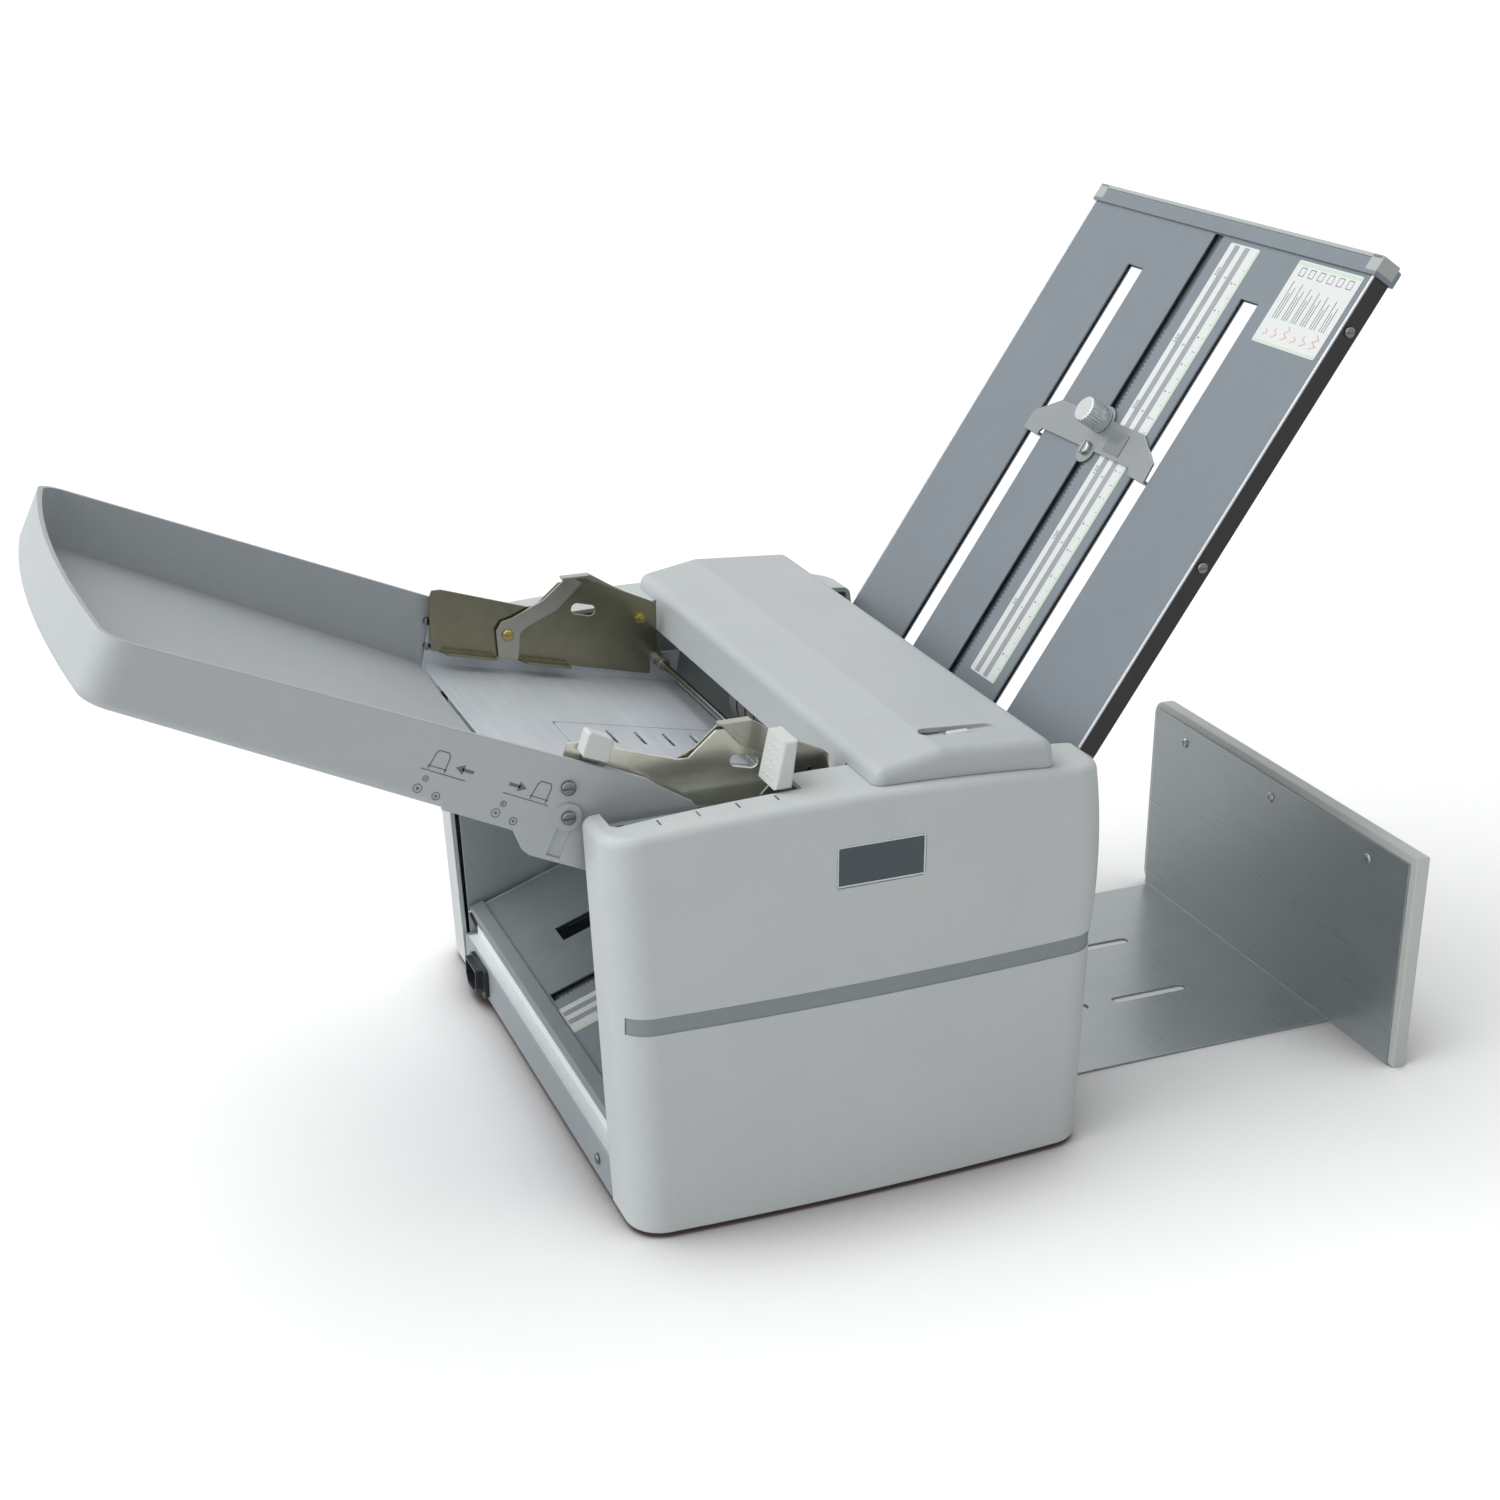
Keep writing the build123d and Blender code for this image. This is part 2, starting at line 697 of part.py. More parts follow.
table_plane = Plane(
    origin=(table_x, 0, table_z), x_dir=(table_cos, 0, -table_sin), z_dir=(table_sin, 0, table_cos)
)
bar_local = table_side(0).to_local_coords(Vector(bar_x, 0, bar_z))
lift_start = 62.0
lift_pin_u = lift_start + 4
lift_pin_drop = 5.5
lift_pin_r = 2.0
lever_slot_u = 8.0
lever_slot_length = 27.0
lever_strip_y = table_half_w - table_t - 1.2 - fit_gap
with BuildPart() as feed_table:
    with BuildSketch(table_plane):
        with BuildLine():
            Polyline(
                (2.5, -table_half_w), (2.5, table_half_w), (table_length, table_half_w),
                (table_length, -table_half_w), close=True,
            )
        make_face()
        with Locations((lift_start + lift_length / 2, 0)):
            Rectangle(lift_length, 2 * lift_half_w, mode=Mode.SUBTRACT)
        with Locations((lever_slot_u + lever_slot_length / 2, -lever_strip_y - 0.6)):
            Rectangle(lever_slot_length, 3.2, mode=Mode.SUBTRACT)
    extrude(amount=-table_t)
    for flange_y in (-table_half_w + table_t, table_half_w):
        with BuildSketch(table_side(flange_y)):
            with BuildLine():
                Polyline(
                    (2.5, -16), (2.5, 33), (24, 42), (50, 36), (84, 18), (160, 18),
                    (table_length, 24), (table_length, -16), close=True,
                )
            make_face()
            with Locations((bar_local.X, bar_local.Y)):
                Circle(bar_r, mode=Mode.SUBTRACT)
            for screw_u, screw_w in ((lug_screw_u, lug_screw_w), (lug_slot_u, lug_stud_w)):
                screw_point = tray_side(0).from_local_coords((screw_u, screw_w, 0))
                screw_local = table_side(0).to_local_coords(Vector(*screw_point))
                with Locations((screw_local.X, screw_local.Y)):
                    Circle(2.6, mode=Mode.SUBTRACT)
        extrude(amount=table_t)
        side_sign = -1 if flange_y < 0 else 1
        for spacer_u in (112, 168):
            spacer = Plane(
                origin=Vector(*table_side(0).from_local_coords((spacer_u, -9, 0)))
                + Vector(0, side_sign * table_half_w, 0),
                x_dir=(1, 0, 0), z_dir=(0, side_sign, 0),
            )
            with BuildSketch(spacer):
                Circle(5)
            extrude(amount=frame_inner_y - table_half_w)
    for ear_y in (-lift_half_w - 2.0, lift_half_w + 4.0):
        with BuildSketch(table_side(ear_y)):
            with BuildLine():
                Polyline((lift_start - 4, 0), (lift_start + 14, 0), (lift_start + 9, -10),
                         (lift_start - 1, -10), close=True)
            make_face()
            with Locations((lift_pin_u, -lift_pin_drop)):
                Circle(lift_pin_r + shaft_clearance, mode=Mode.SUBTRACT)
        extrude(amount=2.0)
save(feed_table.part, "feed_table")

with BuildPart() as lift_plate:
    lift_margin = 1.0
    with BuildSketch(table_plane):
        with Locations((lift_start + lift_length / 2, 0)):
            RectangleRounded(lift_length - 2 * lift_margin, 2 * (lift_half_w - lift_margin), 4)
        for slot_u in (35, 55, 75, 95):
            with Locations((lift_start + slot_u, -22), (lift_start + slot_u, 22)):
                SlotOverall(24, 4, rotation=90, mode=Mode.SUBTRACT)
    extrude(amount=-table_t)
    for rib_y in (-lift_half_w + lift_margin + table_t, lift_half_w - lift_margin):
        with BuildSketch(table_side(rib_y)):
            with BuildLine():
                Polyline(
                    (lift_start + lift_margin + 4, -0.5), (lift_start + lift_length - 5, -0.5),
                    (lift_start + lift_length - 12, -7), (lift_start + 8, -9),
                    (lift_start + lift_margin, -8), (lift_start + lift_margin, -3), close=True,
                )
            make_face()
        extrude(amount=table_t)
    for pin_sign in (-1, 1):
        pin_plane = Plane(
            origin=Vector(*table_side(0).from_local_coords((lift_pin_u, -lift_pin_drop, 0)))
            + Vector(0, pin_sign * (lift_half_w - lift_margin - table_t), 0),
            x_dir=(1, 0, 0), z_dir=(0, pin_sign, 0),
        )
        with BuildSketch(pin_plane):
            Circle(lift_pin_r)
        extrude(amount=9.0)
    with BuildSketch(table_plane):
        with Locations((lift_start + lift_length - 14, 0)):
            RectangleRounded(16, 40, 2)
    extrude(amount=0.8)
save(lift_plate.part, "lift_plate")


# ------------------------------------------------------------------ cassette lever
cap_u = 14.0
cap_h = 15.0
cap_base = 47.5
rod_u = 130.0
rod_drop = -11.1
with BuildPart() as cassette_lever:
    with BuildSketch(table_side(-lever_strip_y)):
        with BuildLine():
            Polyline(
                (cap_u - 5, cap_base + 6), (cap_u + 5, cap_base + 6), (cap_u + 5, -8),
                (rod_u, rod_drop + 4), (rod_u + 5, rod_drop), (rod_u, rod_drop - 4),
                (cap_u - 5, -16), close=True,
            )
        make_face()
    extrude(amount=1.2)
    with BuildSketch(table_side(-lever_strip_y)):
        with Locations((rod_u, rod_drop)):
            Circle(3)
    extrude(amount=-(lever_strip_y + 30))
save(cassette_lever.part, "cassette_lever")

with BuildPart() as cassette_lever_cap:
    with BuildSketch(table_side(-lever_strip_y + 0.4)):
        with BuildLine():
            Polyline(
                (cap_u - 9, cap_base + 2), (cap_u + 8, cap_base - 1), (cap_u + 9, cap_base + cap_h - 2),
                (cap_u - 7, cap_base + cap_h + 2), close=True,
            )
        make_face()
        fillet(vertices(), 2)
    extrude(amount=11)
    fillet(cassette_lever_cap.faces().sort_by(Axis.Y)[0].edges(), 1.2)
    fillet(cassette_lever_cap.faces().sort_by(Axis.Y)[-1].edges(), 1.2)
    with BuildSketch(table_side(-lever_strip_y)):
        with BuildLine():
            Polyline((cap_u - 5, cap_base - 1), (cap_u + 5, cap_base - 1), (cap_u + 5, cap_base + 6),
                     (cap_u - 5, cap_base + 6), close=True)
        make_face()
    extrude(amount=1.2, mode=Mode.SUBTRACT)
save(cassette_lever_cap.part, "cassette_lever_cap")


# ------------------------------------------------------------------ guide bar and side guides
with BuildPart() as guide_bar:
    with BuildSketch(elevation(table_half_w)):
        with Locations((bar_x, bar_z)):
            Circle(bar_r)
    extrude(amount=2 * table_half_w)
save(guide_bar.part, "guide_bar")

guide_low = [(-152.0, 256.5), (10.0, 217.5)]
guide_screw = (-1.5, 262.0)
strip_screw = (-98.5, 262.0)
strip_t = 1.5
strip_inner_y = guide_y - strip_t - 0.4


def side_guide_part():
    """Near side guide: one folded sheet with a humped top, an adjusting slot and foot lips."""
    with BuildPart() as guide:
        with BuildSketch(elevation(-guide_y)):
            with BuildLine():
                Polyline(
                    guide_low[0], (-152.0, 293.0), (-149.5, 299.0), (-143.0, 299.0), (-83.0, 279.5),
                    (-77.0, 279.5), (-60.0, 294.0), (-40.0, 295.5), (7.0, 273.0), (11.5, 269.0),
                    (11.5, 236.0), (6.0, 232.0), (6.0, 218.5), close=True,
                )
            make_face()
            with Locations((-42.5, 272.5)):
                SlotOverall(18, 8, rotation=-14, mode=Mode.SUBTRACT)
            with Locations(guide_screw):
                Circle(2.55, mode=Mode.SUBTRACT)
        extrude(amount=guide_t)
        for lip_start, lip_end, lip_depth in ((-147.0, -108.0, 8.0), (-91.5, -55.0, 9.0)):
            slope = (guide_low[1][1] - guide_low[0][1]) / (guide_low[1][0] - guide_low[0][0])
            start_z = guide_low[0][1] + slope * (lip_start - guide_low[0][0])
            end_z = guide_low[0][1] + slope * (lip_end - guide_low[0][0])
            lip_plane = Plane(
                origin=(lip_start, -guide_y, start_z),
                x_dir=(lip_end - lip_start, 0, end_z - start_z), z_dir=(start_z - end_z, 0, lip_end - lip_start),
            )
            lip_length = hypot(lip_end - lip_start, end_z - start_z)
            with BuildSketch(lip_plane):
                with BuildLine():
                    Polyline((0, 0), (5, lip_depth), (lip_length, lip_depth), (lip_length, 0),
                             (lip_length, -guide_t), (0, -guide_t), close=True)
                make_face()
            extrude(amount=guide_t)
    return guide.part


def guide_strip_part():
    """Near guide bracket: a strip over the guide's top, and its slide on the bar."""
    with BuildPart() as strip:
        foot_x = strip_screw[0]
        with BuildSketch(elevation(-strip_inner_y + strip_t)):
            with BuildLine():
                Polyline(
                    (foot_x - 7, 246), (foot_x + 7, 243), (foot_x + 9, 262), (foot_x + 14, 266),
                    (-62, 276), (-44, 293), (-50, 297.5), (-56, 297.5), (-72, 284),
                    (foot_x + 4, 274), (foot_x - 4, 272), (foot_x - 8, 266), close=True,
                )
            make_face()
            with Locations(strip_screw):
                Circle(2.1, mode=Mode.SUBTRACT)
        extrude(amount=strip_t)
        with BuildSketch(elevation(-strip_inner_y + strip_t)):
            with BuildLine():
                Polyline((-58, 296.6), (-41, 296.6), (-38, 298.1), (-58, 298.1), close=True)
            make_face()
        extrude(amount=guide_y + guide_t + strip_t - strip_inner_y + strip_t)
        bracket_y = guide_y + guide_t + 0.3
        with BuildSketch(elevation(-bracket_y)):
            with BuildLine():
                Polyline((-58, 298.1), (-41, 298.1), (-38, 298.1), (-20, 286.5), (8, 271), (11, 262), (11, 250),
                         (-12, 250), (-20, 272), (-46, 284), close=True)
            make_face()
            with Locations(guide_screw):
                Circle(2.1, mode=Mode.SUBTRACT)
        extrude(amount=strip_t)
        with BuildSketch(elevation(-bracket_y)):
            with BuildLine():
                Polyline((-4, 252), (11, 252), (11.5, 240), (17, 230), (17, 224), (10, 224), (6, 232), close=True)
            make_face()
        extrude(amount=strip_t)
        with BuildSketch(elevation(-bracket_y + 12)):
            with Locations((bar_x, bar_z)):
                Circle(bar_r + 2)
        extrude(amount=12 + strip_t)
        with BuildSketch(elevation(-bracket_y + 14)):
            with Locations((bar_x, bar_z)):
                Circle(bar_r + shaft_clearance)
        extrude(amount=20, mode=Mode.SUBTRACT)
    return strip.part


def guide_screws_part():
    """Two brass screws of a near guide: one on the strip's foot, one long one at its end."""
    with BuildPart() as screws:
        foot_plane = Plane(
            origin=(strip_screw[0], -strip_inner_y + strip_t, strip_screw[1]), x_dir=(1, 0, 0), z_dir=(0, 1, 0)
        )
        add(screw_head(foot_plane, 4.2, 2.4, 2.0, 1.5, 1.1))
        end_plane = Plane(
            origin=(guide_screw[0], -guide_y, guide_screw[1]), x_dir=(1, 0, 0), z_dir=(0, 1, 0)
        )
        with BuildSketch(end_plane):
            RegularPolygon(4.0, 6)
        extrude(amount=3.0)
        with BuildSketch(end_plane):
            Circle(2.0)
        extrude(amount=-3.3)
        with BuildSketch(end_plane):
            Circle(2.0)
        extrude(amount=8.0)
    return screws.part


near_guide = side_guide_part()
near_strip = guide_strip_part()
near_guide_screws = guide_screws_part()
save(near_guide, "side_guide_near")
save(far_side(near_guide), "side_guide_far")
save(near_strip, "guide_strip_near")
save(far_side(near_strip), "guide_strip_far")
save(near_guide_screws, "guide_screws_near")
save(far_side(near_guide_screws), "guide_screws_far")


# ------------------------------------------------------------------ hood over the rollers
def hood_section(inset):
    """Section of the hood seen from the operator, drawn in by inset."""
    left = hood_left_x + inset
    right = hood_right_x - inset
    crown = hood_top_z - inset
    FilletPolyline(
        (left - 1.5, hood_skirt_z - 1), (left + 2.5, crown - 7.5), (60 + inset * 0.2, crown),
        (right - 4, crown - 4.5), (right, hood_skirt_z - 1),
        radius=8 - inset,
    )
    Line((right, hood_skirt_z - 1), (left - 1.5, hood_skirt_z - 1))


latch_x = 84.5
latch_y = -174.5
latch_floor_drop = 7.0
with BuildPart() as hood:
    with BuildSketch(elevation(hood_half_length)):
        with BuildLine():
            hood_section(0)
        make_face()
    extrude(amount=2 * hood_half_length)
    hood_ends = [
        edge for edge in hood.edges()
        if abs(abs(edge.center().Y) - hood_half_length) < 0.1 and edge.center().Z > hood_skirt_z
    ]
    fillet(hood_ends, 7)
    with BuildSketch(elevation(hood_half_length - hood_wall)):
        with BuildLine():
            hood_section(hood_wall)
        make_face()
    extrude(amount=2 * (hood_half_length - hood_wall), mode=Mode.SUBTRACT)
    for end_y in (-frame_inner_y + 0.8, hood_half_length + 20):
        with BuildSketch(elevation(end_y)):
            with BuildLine():
                left_top = (cover_left_x - cover_lean, cover_left_top_z + fit_gap)
                ThreePointArc(
                    left_top,
                    (cover_crown_x, cover_crown_z + fit_gap),
                    (cover_shoulder_x, cover_shoulder_z + fit_gap),
                )
                Polyline((cover_shoulder_x, cover_shoulder_z + fit_gap), (cover_shoulder_x, 200),
                         (left_top[0], 200), left_top)
            make_face()
        extrude(amount=hood_half_length + 20 - frame_inner_y + 0.8, mode=Mode.SUBTRACT)
    with BuildSketch(Plane.XY.offset(hood_top_z - 4.6)):
        with Locations((latch_x, latch_y)):
            SlotOverall(51, 12)
    extrude(amount=10, mode=Mode.SUBTRACT)
    with BuildSketch(Plane.XY.offset(hood_top_z - latch_floor_drop)):
        with Locations((latch_x, latch_y)):
            SlotOverall(55, 16)
    extrude(amount=2.4)
    with BuildSketch(Plane.XY.offset(hood_top_z - 12)):
        with Locations((latch_x, latch_y)):
            Rectangle(14 + 2 * fit_gap, 9)
    extrude(amount=20, mode=Mode.SUBTRACT)
    with BuildSketch(elevation(hood_half_length + 5)):
        with Locations((hood_left_x - 5, hood_skirt_z - 5)):
            Rectangle(hood_right_x - hood_left_x + 10, hood_pin_z - hood_skirt_z + 5, align=(Align.MIN, Align.MIN))
    extrude(amount=hood_half_length + 5 - hood_pin_y, mode=Mode.SUBTRACT)
    for hinge_x in hinge_xs:
        pocket = Plane(origin=(hinge_x - knuckle_w / 2 - fit_gap, 0, 0), x_dir=(0, 1, 0), z_dir=(1, 0, 0))
        with BuildSketch(pocket):
            with Locations((hood_pin_y, hood_pin_z)):
                Circle(hood_knuckle_r + 0.5)
            with Locations((hood_pin_y, hood_pin_z - 5)):
                Rectangle(2 * hood_knuckle_r + 1, 10)
            with Locations((hood_pin_y + 5, hood_pin_z - 5)):
                Rectangle(10, 17)
        extrude(amount=knuckle_w + 2 * fit_gap, mode=Mode.SUBTRACT)
        for lug_x in (hinge_x - knuckle_w / 2 - fit_gap - 4, hinge_x + knuckle_w / 2 + fit_gap):
            lug_plane = Plane(origin=(lug_x, 0, 0), x_dir=(0, 1, 0), z_dir=(1, 0, 0))
            with BuildSketch(lug_plane):
                with BuildLine():
                    Polyline(
                        (hood_pin_y - hood_knuckle_r, hood_pin_z), (hood_pin_y - hood_knuckle_r - 2, hood_top_z - 5),
                        (hood_pin_y + hood_knuckle_r - 1, hood_top_z - 6), (hood_pin_y + hood_knuckle_r - 0.5, hood_pin_z),
                        close=True,
                    )
                make_face()
                with Locations((hood_pin_y, hood_pin_z)):
                    Circle(hood_knuckle_r - 0.2)
            extrude(amount=4)
        with BuildSketch(Plane(origin=(hinge_x - knuckle_w, 0, 0), x_dir=(0, 1, 0), z_dir=(1, 0, 0))):
            with Locations((hood_pin_y, hood_pin_z)):
                Circle(hood_pin_r + shaft_clearance)
        extrude(amount=2 * knuckle_w, mode=Mode.SUBTRACT)
save(hood.part, "hood")

with BuildPart() as hood_hinge_pins:
    for hinge_x in hinge_xs:
        pin_length = knuckle_w + 2 * fit_gap + 8
        with BuildSketch(Plane(origin=(hinge_x - pin_length / 2, hood_pin_y, hood_pin_z), x_dir=(0, 1, 0),
                               z_dir=(1, 0, 0))):
            Circle(hood_pin_r)
        extrude(amount=pin_length)

latch_base_z = hood_top_z - latch_floor_drop - fit_gap
with BuildPart() as hood_latch:
    with BuildSketch(Plane.XY.offset(latch_base_z)):
        with Locations((latch_x, latch_y - 1.2)):
            Rectangle(14, 6)
    extrude(amount=hood_top_z - 1.8 - latch_base_z)
    fillet(hood_latch.faces().sort_by(Axis.Z)[-1].edges(), 1.4)
    with BuildSketch(Plane.XY.offset(latch_base_z)):
        with Locations((latch_x, latch_y - 1.2)):
            Rectangle(22, 14)
    extrude(amount=-1.5)
    with BuildSketch(elevation(latch_y - 5)):
        with Locations((latch_x, latch_base_z - 4)):
            Rectangle(8, 6)
    extrude(amount=2)
save(hood_latch.part, "hood_latch")


# ------------------------------------------------------------------ rollers, shafts and bushes
near_shaft_end = frame_inner_y + frame_t + 4.0


def roller_part(centre, far_end):
    """Ground fold roller with grooves for the sheet strippers, turned in one with its shaft."""
    with BuildPart() as roller:
        with BuildSketch(elevation(roller_half_length)):
            with Locations(centre):
                Circle(roller_r)
        extrude(amount=2 * roller_half_length)
        chamfer([edge for edge in roller.edges().filter_by(GeomType.CIRCLE)], 1.0)
        for groove_y in (-95, -35, 35, 95):
            with BuildSketch(elevation(groove_y + 3)):
                with Locations(centre):
                    Circle(roller_r + 1)
                    Circle(roller_r - 1.5, mode=Mode.SUBTRACT)
            extrude(amount=6, mode=Mode.SUBTRACT)
        with BuildSketch(elevation(far_end)):
            with Locations(centre):
                Circle(shaft_r)
        extrude(amount=far_end + near_shaft_end)
    return roller.part


drive_shaft_y = belt_y + belt_w + 1.0
for number, centre in enumerate((roller_1, roller_2, roller_3, roller_4), start=1):
    far_end = drive_shaft_y if number == 2 else outer_shaft_y
    save(roller_part(centre, far_end), f"fold_roller_{number}")

with BuildPart() as feed_shaft:
    with BuildSketch(elevation(outer_shaft_y)):
        with Locations(feed):
            Circle(shaft_r)
    extrude(amount=outer_shaft_y + near_shaft_end)
    for collar_y in (-feed_tyre_w / 2 - 6, feed_tyre_w / 2 + 12):
        with BuildSketch(elevation(collar_y)):
            with Locations(feed):
                Circle(shaft_r + 4)
        extrude(amount=6)
save(feed_shaft.part, "feed_shaft")

with BuildPart() as feed_roller:
    with BuildSketch(elevation(feed_tyre_w / 2)):
        with Locations(feed):
            Circle(feed_tyre_r)
            Circle(shaft_r, mode=Mode.SUBTRACT)
    extrude(amount=feed_tyre_w)
    chamfer([edge for edge in feed_roller.edges().filter_by(GeomType.CIRCLE) if edge.radius > shaft_r + 1], 1.5)
    for groove_y in (-15, 0, 15):
        with BuildSketch(elevation(groove_y + 1.5)):
            with Locations(feed):
                Circle(feed_tyre_r + 1)
                Circle(feed_tyre_r - 1.5, mode=Mode.SUBTRACT)
        extrude(amount=3, mode=Mode.SUBTRACT)
save(feed_roller.part, "feed_roller")

with BuildPart() as shaft_bearings:
    for bush_side in (-1, 1):
        for point in shaft_points:
            inner_face = Plane(
                origin=(point[0], bush_side * (frame_inner_y - bush_flange_t), point[1]),
                x_dir=(1, 0, 0), z_dir=(0, bush_side, 0),
            )
            with BuildSketch(inner_face):
                Circle(bush_flange_r)
            extrude(amount=bush_flange_t)
            with BuildSketch(inner_face):
                Circle(bush_r)
            extrude(amount=bush_flange_t + frame_t + 0.4)
            with BuildSketch(inner_face):
                Circle(shaft_r + shaft_clearance)
            extrude(amount=bush_flange_t + frame_t + 1, mode=Mode.SUBTRACT)
save(shaft_bearings.part, "shaft_bearings")


# ------------------------------------------------------------------ gears, pulleys, belt, motor
angle_2 = 0.0
angle_1 = meshed_angle(angle_2, roller_teeth, roller_teeth, bearing_1_deg)
angle_3 = meshed_angle(angle_2, roller_teeth, roller_teeth, bearing_3_deg)
angle_4 = meshed_angle(angle_3, roller_teeth, roller_teeth, bearing_4_deg)
idler_line = degrees(atan2(idler[1] - roller_1[1], idler[0] - roller_1[0]))
idler_angle = meshed_angle(angle_1, roller_teeth, idler_teeth, idler_line)
feed_gear_line = degrees(atan2(feed_z - idler[1], feed_x - idler[0]))
feed_angle = meshed_angle(idler_angle, idler_teeth, roller_teeth, feed_gear_line)
gear_turns = (
    ("roller_gear_1", roller_1, roller_teeth, angle_1, 0.0),
    ("roller_gear_3", roller_3, roller_teeth, angle_3, 0.0),
    ("roller_gear_4", roller_4, roller_teeth, angle_4, 0.0),
    ("feed_gear", feed, roller_teeth, feed_angle, 0.0),
    ("idler_gear", idler, idler_teeth, idler_angle, shaft_clearance),
)
for gear_name, centre, teeth, angle, bore_gap in gear_turns:
    save(
        gear_solid(teeth, gear_module, gear_w, shaft_r + bore_gap, angle, gear_y, centre[0], centre[1]),
        gear_name,
    )

with BuildPart() as roller_gear_2:
    add(gear_solid(
        roller_teeth, gear_module, gear_w, shaft_r, angle_2, gear_y, roller_2[0], roller_2[1],
        hub_r=10.0, hub_w=belt_y - gear_y - gear_w,
    ))
    with BuildSketch(elevation(belt_y + belt_w)):
        with Locations(roller_2):
            Circle(drive_pulley_r)
            Circle(shaft_r, mode=Mode.SUBTRACT)
            with PolarLocations(18, 6):
                Circle(5, mode=Mode.SUBTRACT)
    extrude(amount=belt_w)
save(roller_gear_2.part, "roller_gear_2")

with BuildPart() as motor_pulley:
    with BuildSketch(elevation(belt_y + belt_w)):
        with Locations((motor_x, motor_z)):
            Circle(motor_pulley_r)
    extrude(amount=belt_w)
    with BuildSketch(elevation(belt_y)):
        with Locations((motor_x, motor_z)):
            Circle(shaft_r - 1)
    extrude(amount=belt_y - frame_inner_y + 8)
save(motor_pulley.part, "motor_pulley")

belt_span = hypot(roller_2_x - motor_x, roller_2_z - motor_z)
belt_line = degrees(atan2(roller_2_z - motor_z, roller_2_x - motor_x))
with BuildPart() as drive_belt:
    wrap = degrees(atan2((drive_pulley_r - motor_pulley_r), belt_span))


    def belt_loop(extra):
        """Belt outline round both pulleys, extra being its distance from their rims."""
        big = drive_pulley_r + extra
        small = motor_pulley_r + extra
        left_turn = belt_line + 90 + wrap
        right_turn = belt_line - 90 - wrap
        big_left = polar(roller_2_x, roller_2_z, big, left_turn)
        big_right = polar(roller_2_x, roller_2_z, big, right_turn)
        small_left = polar(motor_x, motor_z, small, left_turn)
        small_right = polar(motor_x, motor_z, small, right_turn)
        ThreePointArc(big_left, polar(roller_2_x, roller_2_z, big, belt_line), big_right)
        Line(big_right, small_right)
        ThreePointArc(small_right, polar(motor_x, motor_z, small, belt_line + 180), small_left)
        Line(small_left, big_left)


    with BuildSketch(elevation(belt_y + belt_w - 0.5)):
        with BuildLine():
            belt_loop(fit_gap + belt_t)
        make_face()
        with BuildLine():
            belt_loop(fit_gap)
        make_face(mode=Mode.SUBTRACT)
    extrude(amount=belt_w - 1)
save(drive_belt.part, "drive_belt")

with BuildPart() as drive_motor:
    with BuildSketch(elevation(frame_inner_y)):
        with Locations((motor_x, motor_z)):
            Circle(motor_r)
    extrude(amount=motor_length)
    fillet(drive_motor.faces().sort_by(Axis.Y)[0].edges(), 3)
    with BuildSketch(elevation(frame_inner_y)):
        with Locations((motor_x, motor_z)):
            RectangleRounded(64, 64, 8)
    extrude(amount=3)
    with BuildSketch(elevation(frame_inner_y)):
        with Locations((motor_x, motor_z)):
            Circle(shaft_r)
    extrude(amount=10, mode=Mode.SUBTRACT)
save(drive_motor.part, "drive_motor")


# ------------------------------------------------------------------ separator under the feed roller
separator_deg = -72.0
separator_point = polar(feed_x, feed_z, feed_tyre_r + 0.4, separator_deg)
separator_plane = Plane(
    origin=(separator_point[0], 0, separator_point[1]),
    x_dir=(cos(radians(separator_deg + 90)), 0, sin(radians(separator_deg + 90))),
    z_dir=(-cos(radians(separator_deg)), 0, -sin(radians(separator_deg))),
)
with BuildPart() as separator_pad:
    with BuildSketch(separator_plane):
        RectangleRounded(16, 38, 2)
    extrude(amount=-2)
save(separator_pad.part, "separator_pad")

with BuildPart() as separator_holder:
    with BuildSketch(separator_plane.offset(-2)):
        Rectangle(22, 44)
    extrude(amount=-5)
    table_end = table_side(0).from_local_coords((table_length, 0, 0))
    with BuildSketch(elevation(20)):
        with BuildLine():
            Polyline(
                (table_end.X - 4.5, table_end.Z - table_t + 0.9), (table_end.X + 4, table_end.Z - table_t - 0.9),
                (42, 212), (46, 214), (50, 208), (table_end.X + 4, table_end.Z - 10),
                (table_end.X - 4.5, table_end.Z - 8), close=True,
            )
        make_face()
    extrude(amount=40)
save(separator_holder.part, "separator_holder")


